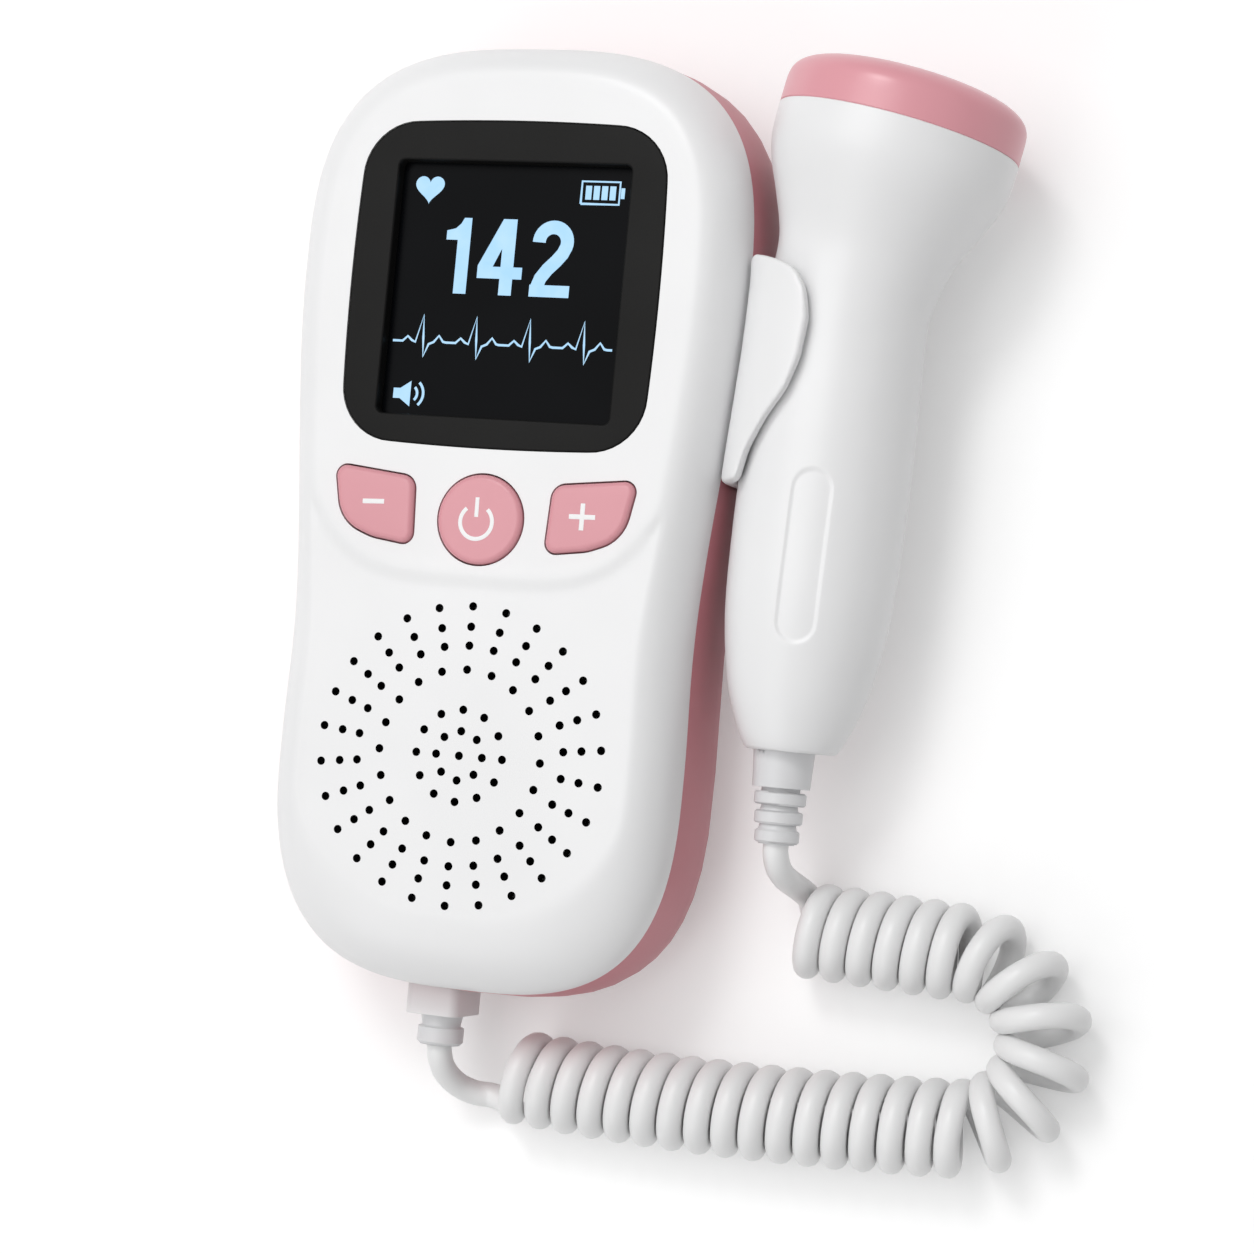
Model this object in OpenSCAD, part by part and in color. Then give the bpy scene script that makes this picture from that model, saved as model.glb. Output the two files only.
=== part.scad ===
// Fetal doppler monitor: a hand-held unit with a display, three buttons and a speaker,
// and an ultrasound probe that clips to its side and hangs on a curly cord.
// The unit lies on its back. +X points to the probe's side, +Y to the display end and +Z out
// of the front. The origin is on the flat back, midway along the case. Sizes are in millimetres.

/* [Case outline] */
// Length of the front cover, measured at the joint between the two shells
case_len = 144; // [138:1:150]
// Length of each rounded end of the outline
end_len = 36; // [33:0.5:39]
// Half the case's width at the display end
top_half_w = 35.6; // [34.8:0.1:37]
// Half the case's width at the speaker end
low_half_w = 32.3; // [31.6:0.1:34]
// How far the sides draw in at the waist, from the speaker end's width
waist_in = 0.3; // [0:0.1:1]
// How square the rounded ends are, 2 being an ellipse
end_power = 3; // [2.7:0.1:3.3]

/* [Case section] */
// Thickness of the whole case, back to front
case_t = 33; // [32.5:0.25:36]
// Height of the joint between the rear and front shells
part_z = 23; // [22.5:0.25:24]
// Wall of both shells
wall = 2.2; // [1.8:0.1:2.4]
// Wall of the flat front
front_wall = 2; // [1.6:0.1:2.2]
// How far in from the side the rounded front edge reaches
front_round_w = 8; // [6.5:0.5:9]
// The same at the speaker end, where the edge is rounded more broadly
low_round_w = 13.5; // [11:0.5:15]
// How far the rear shell's side swells out past the front shell
rear_swell = 0.8; // [0.3:0.1:1.2]
// Height at which the rear shell is widest
swell_z = 12; // [10:0.5:14]
// How far in the rounded back edge reaches
rear_round_w = 7; // [5:0.5:8]
// Step from the raised display panel down to the speaker panel
panel_step = 0.4; // [0.2:0.1:0.7]

/* [Display] */
// Width of the black bezel
bezel_w = 48.8; // [46:0.2:50]
// Height of the black bezel
bezel_h = 48.9; // [46:0.1:50]
// Corner radius of the bezel
bezel_r = 8.5; // [5:0.5:11]
// Middle of the bezel along the case
bezel_y = 34.2; // [33:0.1:35]
// Depth of the bezel, down to the display glass
bezel_t = 2.2; // [1.6:0.1:2.4]
// Width of the display window
window_w = 37.4; // [34:0.2:39]
// Height of the display window
window_h = 38.8; // [34:0.2:40]
// Thickness of the display glass
glass_t = 0.7; // [0.5:0.1:1.1]
// Thickness of the display module behind the glass
lcd_t = 3.4; // [2.6:0.2:4]
// How far the glass and module reach past the window on each side
lcd_lap = 2.4; // [1.6:0.2:2.6]

/* [Buttons] */
// Radius of the power button
power_r = 6.75; // [5.5:0.25:7]
// Middle of the power button along the case
power_y = -1.3; // [-2:0.1:0]
// How far the buttons stand proud of the panel
button_proud = 0.8; // [0.4:0.1:1.2]
// How far a button travels when pressed
button_travel = 0.8; // [0.4:0.1:0.85]
// Gap between a button and its hole
button_gap = 0.25; // [0.15:0.05:0.4]
// Width of the flange that keeps a button in
button_flange = 1.1; // [0.7:0.1:1.3]

/* [Speaker] */
// Middle of the speaker along the case
speaker_y = -36.7; // [-38:0.1:-36]
// Outer radius of the speaker
speaker_r = 25; // [24:0.25:25.5]
// Radius of one grille hole
grille_hole_r = 0.65; // [0.45:0.05:0.8]
// Radius of the outermost ring of grille holes
grille_r = 22.4; // [20:0.2:23]
// Depth of the speaker's frame
speaker_t = 7.5; // [6:0.5:8]
// Radius of the speaker's magnet
magnet_r = 11; // [9:0.5:12]
// Thickness of the foam gasket
gasket_t = 1; // [0.6:0.1:1.4]

/* [Battery bay] */
// Diameter of a battery cell
cell_d = 14.2; // [13.8:0.1:14.4]
// Length of a battery cell
cell_l = 50.2; // [49:0.2:50.6]
// Space around each cell
cell_gap = 0.3; // [0.2:0.05:0.5]
// Middle of the bay along the case
bay_y = 4; // [2:0.5:6]
// Length left at each end of the cells for the contacts
contact_room = 3.4; // [3:0.2:4]
// Wall of the bay
bay_wall = 1.5; // [1.2:0.1:1.8]
// Thickness of the battery door and of the back round it
door_t = 2; // [1.6:0.1:2.2]
// Gap round the battery door
door_gap = 0.2; // [0.15:0.05:0.4]
// How far the door laps past the bay on each side
door_lap = 1.6; // [1:0.2:2]

/* [Circuit board] */
// Thickness of the circuit board
board_t = 1.6; // [1.2:0.1:2]
// Gap between the bay's top and the circuit board
board_gap = 1.6; // [1.5:0.1:2]
// Side of a key switch
switch_w = 6; // [4.5:0.5:6.5]
// Height of a key switch's body
switch_h = 3.4; // [2.6:0.2:4]
// Gap left under a button before it meets its switch, past the travel
switch_gap = 0.1; // [0.05:0.05:0.15]

/* [Fasteners and seats] */
// Radius of a case screw's boss
boss_r = 3.2; // [2.8:0.1:3.4]
// Radius of a case screw's shank
screw_r = 1.25; // [1:0.05:1.35]
// Clearance between a screw and its hole
screw_gap = 0.05; // [0.02:0.01:0.15]
// Clearance between parts that rest in one another
seat_gap = 0.1; // [0.05:0.05:0.2]

/* [Earphone jack] */
// Radius of the earphone jack's bore, for a 3.5 mm plug
jack_bore_r = 1.8; // [1.78:0.01:1.85]
// Depth of the earphone jack's bore
jack_depth = 14; // [13:0.5:15]
// Radius of the jack's nose
jack_nose_r = 3; // [2.6:0.1:3.4]
// Side of the jack's body
jack_body = 5.6; // [5.2:0.2:6]
// Place of the jack along the case
jack_y = 2; // [-1:0.5:5]

/* [Probe] */
// Height of the probe's axis above the table
probe_z = 19.2; // [18.9:0.1:20]
// Distance from the middle of the case to the probe's axis
probe_x = 48.35; // [48.3:0.05:50]
// Lean of the probe's axis away from the case, in degrees
probe_lean = 2.4; // [1.6:0.2:4]
// Further lean of the probe's head, in degrees
head_lean = 9.2; // [7:0.2:10]
// Thickest radius of the handle
handle_r = 12.7; // [12.4:0.1:13]
// Radius of the neck
neck_r = 12.3; // [11.8:0.1:12.5]
// Radius of the head
head_r = 18.4; // [17.8:0.1:18.8]
// Distance of the head's front from the middle of the handle
head_end = 70.4; // [69:0.2:72]
// Distance of the joint between the cap and the body from the middle of the handle
cap_from = 61.8; // [61:0.2:62.4]
// Wall of the probe
probe_wall = 2.2; // [1.8:0.1:2.4]
// Thickness of the transducer discs
disc_t = 2; // [1.4:0.2:2.4]
// Radius of the pair of transducer discs
disc_r = 12; // [10:0.5:13]

/* [Probe clip] */
// Clearance between the clip and the probe
clip_gap = 0.35; // [0.25:0.05:0.5]
// Wall of the clip
clip_wall = 2.4; // [2:0.1:2.6]
// Lower end of the clip along the case
clip_low = 7; // [6:0.5:9]
// Upper end of the clip along the case
clip_high = 41.5; // [40:0.5:43]
// How far the clip's base sits in from the swell of the case
clip_seat = 2; // [1.6:0.1:2.2]

/* [Plug] */
// Width of the plug
plug_w = 8.8; // [8:0.2:9.6]
// Depth of the plug, back to front
plug_h = 11; // [10:0.2:12]
// Place of the plug across the case
plug_x = -6.6; // [-7.5:0.1:-5.5]
// Height of the plug's axis
plug_z = 12.5; // [12:0.1:13]
// How far the plug stands out of the case
plug_out = 5; // [4:0.2:6]
// Length of the plug's nose in the socket
plug_nose = 6; // [5:0.5:7]
// Wall of the socket
socket_wall = 1.6; // [1.2:0.1:1.8]
// Clearance of the plug in the case and in the socket
plug_gap = 0.2; // [0.1:0.05:0.3]

/* [Cord] */
// Diameter of the cord
cord_d = 3.9; // [3.6:0.05:3.95]
// Outer diameter of the coil
coil_d = 14.8; // [14.4:0.1:15.2]
// Number of curls up to the bend
front_curls = 14.8; // [13.8:1:14.8]
// Number of curls round the bend
bend_curls = 5.2; // [4.2:1:5.2]
// Number of curls after the bend
back_curls = 4.892; // [3.892:1:4.892]
// Radius of the coil's bend
bend_r = 13; // [13:0.25:16]

/* [Hidden] */
$fn = 48;
big = 400;            // longer than anything here, for cutting
lap = 0.01;           // lets two cuts meet without a skin between them

white = [0.93, 0.93, 0.94];
pink = [0.85, 0.58, 0.62];
black = [0.09, 0.09, 0.10];
metal = [0.72, 0.72, 0.74];

// ---- Outline of the case -------------------------------------------------------------------

end_y = case_len / 2 - end_len;          // where the rounded ends begin
waist_y = -20;                           // the narrowest place
end_steps = 12;                          // steps in a quarter of a rounded end
side_steps = 8;                          // steps along a side

function smooth(t) = let (c = min(1, max(0, t))) c * c * (3 - 2 * c);

// Half the width at a place along the straight part of the side
function half_w(y) =
    y > waist_y
    ? low_half_w - waist_in + (top_half_w - low_half_w + waist_in)
      * smooth((y - waist_y) / (end_y - waist_y))
    : low_half_w - waist_in * smooth((y + end_y) / (waist_y + end_y));

// Distance along the case to its rounded end at x, for an outline drawn in by inset
function end_reach(x, half, inset) =
    let (f = min(1, abs(x) / (half - inset)))
    end_y + (end_len - inset) * pow(1 - pow(f, end_power), 1 / end_power);

// One quarter of a rounded end, from the side at angle 0 to the tip at 90
function end_point(a, half, inset) =
    [(half - inset) * pow(abs(cos(a)), 2 / end_power),
     end_y + (end_len - inset) * pow(abs(sin(a)), 2 / end_power)];

// How much of the front's rounding a place takes: more towards the speaker end
function round_share(y) =
    1 + (low_round_w / front_round_w - 1) * smooth((-end_y - 8 - y) / (end_len - 10));

// Right-hand half of the outline, from the lower tip to the upper tip, drawn in by inset and
// by its share of the front's rounding
function right_side(inset, rounding) = concat(
    [for (k = [0 : end_steps])
        let (a = 90 - 90 * k / end_steps, share = round_share(-end_point(a, low_half_w, 0).y),
             p = end_point(a, low_half_w, inset + rounding * share))
        [p.x, -p.y]],
    [for (k = [1 : side_steps - 1]) let (y = -end_y + 2 * end_y * k / side_steps)
        [half_w(y) - inset - rounding, y]],
    [for (k = [0 : end_steps]) end_point(90 * k / end_steps, top_half_w, inset + rounding)]);

// Whole outline, counter-clockwise
function outline(inset, rounding = 0) =
    let (r = right_side(inset, rounding), n = len(r))
    concat([for (p = r) p], [for (k = [n - 2 : -1 : 1]) [-r[k].x, r[k].y]]);

// Stack of outlines closed at both ends; each level is [inset, height, rounding]
module loft(levels) {
    rings = [for (l = levels) [for (p = outline(l[0], l[2])) [p.x, p.y, l[1]]]];
    n = len(rings[0]);
    m = len(rings);
    points = [for (r = rings, p = r) p];
    sides = [for (i = [0 : m - 2], j = [0 : n - 1]) let (q = (j + 1) % n)
        each [[i * n + j, (i + 1) * n + j, (i + 1) * n + q],
              [i * n + j, (i + 1) * n + q, i * n + q]]];
    bottom = [for (j = [0 : n - 1]) j];
    top = [for (j = [n - 1 : -1 : 0]) (m - 1) * n + j];
    polyhedron(points = points, faces = concat([bottom, top], sides));
}

// ---- Heights ---------------------------------------------------------------------------------

front_z = case_t;                                  // face of the display panel
inner_front_z = case_t - front_wall;               // inside of the front
bay_top_z = door_t + 2 * cell_gap + cell_d;        // ceiling of the battery bay
board_z = bay_top_z + bay_wall + board_gap;        // back of the circuit board
board_top_z = board_z + board_t;
glass_top_z = front_z - bezel_t;                   // display glass and the ledge under the bezel
lcd_top_z = glass_top_z - glass_t;
lcd_low_z = lcd_top_z - lcd_t;
ledge_t = 2;                                       // thickness of the ledge round the window
flange_t = 1.1;                                    // thickness of a button's flange
flange_gap = 0.35;                                 // its room under the rounded inside
flange_top_z = inner_front_z - flange_gap;
plunger_top_z = board_top_z + switch_h + 1.2;      // top of a key switch's plunger
stem_low_z = plunger_top_z + button_travel + switch_gap;
jack_z = board_z - jack_body / 2;
speaker_top_z = inner_front_z - gasket_t;

front_arc = 6;      // steps in the front's rounded edge
rear_arc = 5;       // steps in the back's rounded edge
swell_steps = 3;    // steps up the swell of the rear shell

function front_levels(inset, low, high, w) =
    [for (k = [0 : front_arc]) let (a = 90 * k / front_arc)
        [inset, low + (high - low) * sin(a), w * (1 - cos(a))]];

// Rear shell's section: rounded back edge, swell, then in again to the joint
function rear_levels(inset, low) = concat(
    [for (k = [0 : rear_arc]) let (a = 90 * k / rear_arc)
        [inset - rear_swell + (rear_round_w + rear_swell - inset / 2) * (1 - sin(a)),
         swell_z - (swell_z - low) * cos(a), 0]],
    [for (k = [1 : swell_steps]) let (f = k / swell_steps)
        [inset - rear_swell * (1 - f * f), swell_z + (part_z - swell_z) * f, 0]]);

// ---- Shared places ---------------------------------------------------------------------------

upper_screw = [top_half_w - 8.1, end_y + 18];
lower_screw = [low_half_w - 7.8, -end_y - 18];
case_screw_places = [upper_screw, [-upper_screw.x, upper_screw.y],
                     lower_screw, [-lower_screw.x, lower_screw.y]];
post_r = 2.4;                                       // posts that carry the circuit board
board_screw_r = 1;
board_screw_depth = 5;                              // how far a board screw goes into its post
board_head_r = 1.9;
board_head_h = 1.2;
low_post_y = jack_y + jack_body / 2 + 4.7;          // the lower posts stand clear of the jack
board_screw_places = [for (s = [-1, 1]) each
    [[s * (half_w(low_post_y) - 6), low_post_y], [s * 15, end_y + 27.6]]];

bay_w = 2 * cell_d + 3 * cell_gap;
bay_l = cell_l + 2 * contact_room;
door_w = bay_w + 2 * door_lap;
door_l = bay_l + 2 * door_lap;
door_top_y = bay_y + door_l / 2;
door_low_y = bay_y - door_l / 2;
latch_w = 9;
latch_h = 3;
latch_t = 1;

lcd_w = window_w + 2 * lcd_lap;
lcd_h = window_h + 2 * lcd_lap;
window_y = bezel_y - 0.8;                           // the window sits a little low in the bezel

// Outline of the plus button, drawn out by grow; the minus button is its mirror image
side_button_corners = [[11.1, 4.5], [24.3, 5.9], [22.6, -2.9], [17.3, -4.9], [10.6, -5.8]];
side_button_radii = [2.2, 1.6, 6, 8, 1.6];
side_button_middle = [17, 0.4];

// Corner rounded by an arc of radius r between the lines to its neighbours
function round_corner(a, b, c, r) =
    let (u = (a - b) / norm(a - b), v = (c - b) / norm(c - b),
         half = acos(u * v) / 2, reach = r / tan(half),
         m = b + (u + v) / norm(u + v) * r / sin(half),
         p = b + u * reach - m, q = b + v * reach - m,
         a0 = atan2(p.y, p.x), turn = atan2(q.y, q.x) - a0,
         sweep = turn > 180 ? turn - 360 : turn < -180 ? turn + 360 : turn, n = 5)
    [for (k = [0 : n]) m + r * [cos(a0 + sweep * k / n), sin(a0 + sweep * k / n)]];

function rounded(points, radii) =
    let (n = len(points))
    [for (i = [0 : n - 1])
        each round_corner(points[(i + n - 1) % n], points[i], points[(i + 1) % n], radii[i])];

// A convex outline's corners moved outwards by grow
function grown(points, grow) =
    let (n = len(points))
    [for (i = [0 : n - 1])
        let (u = points[i] - points[(i + n - 1) % n], v = points[(i + 1) % n] - points[i],
             nu = [-u.y, u.x] / norm(u), nv = [-v.y, v.x] / norm(v))
        points[i] + grow * (nu + nv) / (1 + nu * nv)];

module side_button_shape(grow) {
    polygon(rounded(grown(side_button_corners, grow), [for (r = side_button_radii) r + grow]));
}

module rounded_rect(w, h, r) {
    polygon(rounded([[-w, -h] / 2, [w, -h] / 2, [w, h] / 2, [-w, h] / 2], [r, r, r, r]));
}

module at_case_screws() {
    for (p = case_screw_places) translate([p.x, p.y, 0]) children();
}

module at_board_screws() {
    for (p = board_screw_places) translate([p.x, p.y, 0]) children();
}

// Rings of the grille: [share of the outer radius, holes, first hole's angle]
grille_rings = [[0, 1, 0], [0.164, 8, 0], [0.308, 12, 0], [0.576, 20, 0],
                [0.737, 26, 180 / 26], [0.863, 26, 180 / 26], [1, 26, 180 / 26]];

module at_grille_holes() {
    for (ring = grille_rings, k = [0 : ring[1] - 1])
        let (a = ring[2] + 360 * k / ring[1])
        translate([grille_r * ring[0] * cos(a), speaker_y + grille_r * ring[0] * sin(a), 0])
            children();
}

// ---- Front shell ------------------------------------------------------------------------------

// Flat area below the display panel, bounded by its smiling edge
panel_mid_y = -10.8;       // lowest point of the panel's edge
panel_edge_rise = 36;      // how far the edge climbs towards the sides
module speaker_panel_area() {
    edge_w = low_half_w + 4;
    polygon(concat([[-edge_w, -case_len], [edge_w, -case_len]],
        [for (k = [12 : -1 : -12]) let (f = k / 12)
            [f * edge_w, panel_mid_y + panel_edge_rise * pow(abs(f), 4.3)]]));
}

module front_shell() {
    color(white) difference() {
        union() {
            difference() {
                loft(front_levels(0, part_z, front_z, front_round_w));
                loft([for (l = front_levels(wall, part_z, inner_front_z, front_round_w))
                    [l[0], l[1] == part_z ? part_z - lap : l[1], l[2]]]);
                translate([0, 0, front_z - panel_step]) linear_extrude(big)
                    speaker_panel_area();
            }
            front_ledge();
            intersection() {
                loft(front_levels(0, part_z, inner_front_z + lap, front_round_w));
                union() {
                    at_case_screws() translate([0, 0, part_z]) cylinder(r = boss_r, h = case_t);
                    at_board_screws() translate([0, 0, board_top_z])
                        cylinder(r = post_r, h = case_t);
                    speaker_ring();
                }
            }
            // The posts reach below the joint, down to the circuit board
            at_board_screws() translate([0, 0, board_top_z])
                cylinder(r = post_r, h = inner_front_z - board_top_z + lap);
        }
        bezel_seat();
        translate([0, speaker_y, part_z])
            cylinder(r = speaker_r + seat_gap, h = inner_front_z - part_z, $fn = 96);
        translate([0, 0, part_z]) {
            linear_extrude(big) side_button_shape(button_gap);
            linear_extrude(big) mirror([1, 0]) side_button_shape(button_gap);
            translate([0, power_y]) cylinder(r = power_r + button_gap, h = big);
        }
        at_grille_holes() translate([0, 0, part_z]) cylinder(r = grille_hole_r, h = big, $fn = 24);
        at_case_screws() translate([0, 0, part_z - lap])
            cylinder(r = screw_r + screw_gap, h = inner_front_z - part_z - 1);
        at_board_screws() translate([0, 0, board_top_z - lap])
            cylinder(r = board_screw_r + screw_gap, h = board_screw_depth + 1);
    }
}

// Thicker frame under the bezel, with the glass and display module inside it
module front_ledge() {
    translate([0, bezel_y, glass_top_z - ledge_t])
        linear_extrude(inner_front_z - glass_top_z + ledge_t + lap)
            rounded_rect(bezel_w + 2, bezel_h + 2, bezel_r + 1);
}

module bezel_seat() {
    translate([0, bezel_y, glass_top_z]) linear_extrude(big)
        rounded_rect(bezel_w + 2 * seat_gap, bezel_h + 2 * seat_gap, bezel_r + seat_gap);
    translate([0, window_y, part_z]) linear_extrude(big)
        square([lcd_w + 2 * seat_gap, lcd_h + 2 * seat_gap], center = true);
}

// Rib that centres the speaker
module speaker_ring() {
    translate([0, speaker_y, inner_front_z - 3.5]) difference() {
        cylinder(r = speaker_r + seat_gap + 1.2, h = 3.5 + lap, $fn = 96);
        translate([0, 0, -1]) cylinder(r = speaker_r + seat_gap, h = big, $fn = 96);
    }
}

// ---- Rear shell -------------------------------------------------------------------------------

case_head_z = 6;           // where a case screw's head sits
clip_face_x = half_w(clip_low) + rear_swell - clip_seat + 1.3;
clip_pad_t = 2.4;
clip_z_low = 8;
clip_screw_z = 13;
clip_screw_bite = 3;      // how far a screw goes into the clip's base
clip_screw_ys = [clip_low + 8, clip_high - 8];
socket_l = plug_nose + 2.4;
case_low_y = -end_reach(plug_x, low_half_w, 0);     // the bottom edge at the plug
socket_set_in = 1.2;                                // room between it and the curved end
socket_y = case_low_y + wall + socket_set_in;       // socket's open face
tab_w = 6;                                          // tabs of the battery door
tab_t = 1.2;
tab_places = [-9, 9];
tab_lift = 0.15;                                    // room over and under the tabs
foot_w = 2.6;
foot_t = 1.4;
boss_foot_r = 4.2;                                  // wider foot of a case screw's boss
boss_foot_h = 11;

module rear_shell() {
    color(pink) difference() {
        union() {
            difference() {
                loft(rear_levels(0, 0));
                loft([for (l = rear_levels(wall, door_t))
                    [l[0], l[1] == part_z ? part_z + lap : l[1], l[2]]]);
            }
            intersection() {
                loft(rear_levels(0.4, 0.2));
                union() {
                    at_case_screws() {
                        cylinder(r = boss_r, h = part_z);
                        cylinder(r = boss_foot_r, h = boss_foot_h);
                    }
                    bay_block();
                    clip_pad();
                    socket_seat();
                }
            }
        }
        bay_space();
        at_case_screws() {
            translate([0, 0, -1]) cylinder(r = screw_r + screw_gap, h = big);
            translate([0, 0, -1]) cylinder(r = 2 * screw_r + 0.3, h = case_head_z + 3);
        }
        clip_recess();
        translate([plug_x, case_low_y, plug_z])
            cube([plug_w + 2 * plug_gap, 2 * wall + 4, plug_h + 2 * plug_gap], center = true);
        translate([0, jack_y, jack_z]) rotate([0, -90, 0])
            cylinder(r = jack_nose_r + seat_gap, h = big);
    }
}

module bay_block() {
    translate([0, bay_y, bay_top_z / 2 + bay_wall / 2])
        cube([bay_w + 2 * bay_wall, bay_l + 2 * bay_wall, bay_top_z + bay_wall], center = true);
    // Foot that the door shuts against
    translate([0, bay_y, door_t / 2 + foot_t / 2 + 0.25])
        cube([door_w + 2 * foot_w, door_l + 2 * foot_w, door_t + foot_t - 0.5], center = true);
}

module bay_space() {
    translate([0, bay_y, bay_top_z / 2])
        cube([bay_w, bay_l, bay_top_z + 2 * lap], center = true);
    translate([0, bay_y, door_t / 2 - 1])
        cube([door_w + 2 * door_gap, door_l + 2 * door_gap, door_t + 2], center = true);
    // Slots for the door's tabs, and one for its latch tongue
    for (x = tab_places) translate([x - tab_w / 2 - 0.3, bay_y + bay_l / 2 - 1, door_t])
        cube([tab_w + 0.6, door_top_y + 1.6 - bay_y - bay_l / 2 + 1, tab_t + 0.4]);
    translate([-latch_w / 2 - 0.3, door_low_y - door_gap, door_t])
        cube([latch_w + 0.6, bay_y - bay_l / 2 + 1 - door_low_y + door_gap, latch_h + 0.4]);
}

module clip_pad() {
    translate([clip_face_x - clip_pad_t, clip_low - 1, clip_z_low - 1])
        cube([clip_pad_t, clip_high - clip_low + 2, part_z - clip_z_low + 1]);
}

module clip_recess() {
    translate([clip_face_x, clip_low - seat_gap, clip_z_low - seat_gap])
        cube([big, clip_high - clip_low + 2 * seat_gap, big]);
    for (y = clip_screw_ys) translate([clip_face_x - 10, y, clip_screw_z]) rotate([0, 90, 0])
        cylinder(r = screw_r + screw_gap, h = 20);
}

// Step on the floor that the probe socket stands on
module socket_seat() {
    translate([plug_x - plug_w / 2, socket_y, 0.5])
        cube([plug_w, socket_l, plug_z - plug_h / 2 - 0.5 - socket_wall + 1]);
}

// ---- Display ----------------------------------------------------------------------------------

module screen_bezel() {
    color(black) translate([0, 0, glass_top_z]) difference() {
        translate([0, bezel_y]) linear_extrude(bezel_t - 0.05) rounded_rect(bezel_w, bezel_h, bezel_r);
        translate([0, window_y, -1]) linear_extrude(big) rounded_rect(window_w, window_h, 1);
    }
}

module display_glass() {
    color([0.03, 0.04, 0.06]) translate([0, window_y, lcd_top_z])
        linear_extrude(glass_t) square([lcd_w, lcd_h], center = true);
}

module lcd_module() {
    color(metal) translate([0, window_y, lcd_low_z]) difference() {
        linear_extrude(lcd_t) square([lcd_w, lcd_h], center = true);
        // The metal frame stands round the panel's edge
        translate([0, 0, lcd_t - 0.3]) linear_extrude(1)
            square([lcd_w - 2, lcd_h - 2], center = true);
    }
}

// Plastic frame that holds the display module up from the circuit board
module lcd_holder() {
    color(white) translate([0, window_y, board_top_z]) linear_extrude(lcd_low_z - board_top_z)
        difference() {
            square([lcd_w - 1, lcd_h - 1], center = true);
            square([lcd_w - 7, lcd_h - 7], center = true);
        }
}

// ---- Circuit board ----------------------------------------------------------------------------

board_low_y = speaker_y + speaker_r + 1.6;
module main_board() {
    color([0.12, 0.38, 0.22]) difference() {
        translate([0, 0, board_z]) linear_extrude(board_t) intersection() {
            polygon(outline(wall + 1));
            translate([-big / 2, board_low_y]) square(big);
        }
        at_case_screws() translate([0, 0, board_z - 1]) cylinder(r = boss_r + 0.5, h = 5);
        at_board_screws() translate([0, 0, board_z - 1])
            cylinder(r = board_screw_r + screw_gap, h = 5);
        // Room behind the clip's pad
        translate([clip_face_x - clip_pad_t - 0.5, clip_low - 1.5, 0])
            cube([big, clip_high - clip_low + 3, big]);
    }
}

module board_screws() {
    color(metal) at_board_screws() {
        translate([0, 0, board_z - board_head_h]) cylinder(r = board_head_r, h = board_head_h);
        translate([0, 0, board_z - lap])
            cylinder(r = board_screw_r, h = board_t + board_screw_depth);
    }
}

button_places = [[-side_button_middle.x, side_button_middle.y], [0, power_y],
                 [side_button_middle.x, side_button_middle.y]];

module tact_switches() {
    color(metal) for (p = button_places) translate([p.x, p.y, board_top_z]) {
        linear_extrude(switch_h) square(switch_w, center = true);
        cylinder(r = switch_w * 0.28, h = plunger_top_z - board_top_z);
    }
}

// ---- Buttons ----------------------------------------------------------------------------------

edge_steps = 3;           // steps in a button's rounded edge
edge_r = 0.9;             // radius of that edge

// Button face from its flange up: body, rounded edge, flange and stem
module button_parts(middle) {
    body_h = front_z + button_proud - flange_top_z;
    translate([0, 0, flange_top_z - flange_t]) linear_extrude(flange_t) children(1);
    translate([0, 0, flange_top_z - lap]) linear_extrude(body_h - edge_r + lap) children(0);
    translate([middle.x, middle.y, stem_low_z]) cylinder(r = 2, h = flange_top_z - stem_low_z);
}

module side_button() {
    button_parts(side_button_middle) {
        side_button_shape(0);
        side_button_shape(button_flange);
    }
    for (k = [1 : edge_steps]) let (a = 90 * k / edge_steps, b = 90 * (k - 1) / edge_steps)
        translate([0, 0, front_z + button_proud - edge_r + edge_r * sin(b) - lap])
            linear_extrude(edge_r * (sin(a) - sin(b)) + lap)
                side_button_shape(-edge_r * (1 - cos((a + b) / 2)));
}

module plus_button() {
    color(pink) side_button();
}

module minus_button() {
    color(pink) mirror([1, 0, 0]) side_button();
}

module power_button() {
    top_z = front_z + button_proud;
    color(pink) translate([0, power_y, 0]) rotate_extrude($fn = 96) polygon(concat(
        [[0, stem_low_z], [2, stem_low_z], [2, flange_top_z - flange_t],
         [power_r + button_flange, flange_top_z - flange_t],
         [power_r + button_flange, flange_top_z], [power_r, flange_top_z]],
        [for (k = [0 : 5]) let (a = 90 * k / 5)
            [power_r - edge_r + edge_r * cos(a), top_z - edge_r + edge_r * sin(a)]],
        [[0, top_z]]));
}

// ---- Speaker ----------------------------------------------------------------------------------

cone_depth = speaker_t - 2.4;
module speaker_gasket() {
    color(black) translate([0, speaker_y, speaker_top_z]) difference() {
        cylinder(r = speaker_r, h = gasket_t, $fn = 96);
        translate([0, 0, -1]) cylinder(r = speaker_r - 2, h = big, $fn = 96);
    }
}

module speaker_frame() {
    color(metal) translate([0, speaker_y, speaker_top_z]) rotate_extrude($fn = 96)
        polygon([[speaker_r, 0], [speaker_r, -1.4], [speaker_r - 1.6, -1.4],
                 [magnet_r + 2, -speaker_t], [5, -speaker_t], [5, -speaker_t + 1],
                 [magnet_r + 1, -speaker_t + 1], [speaker_r - 3, -0.8], [speaker_r - 3, 0]]);
}

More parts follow.
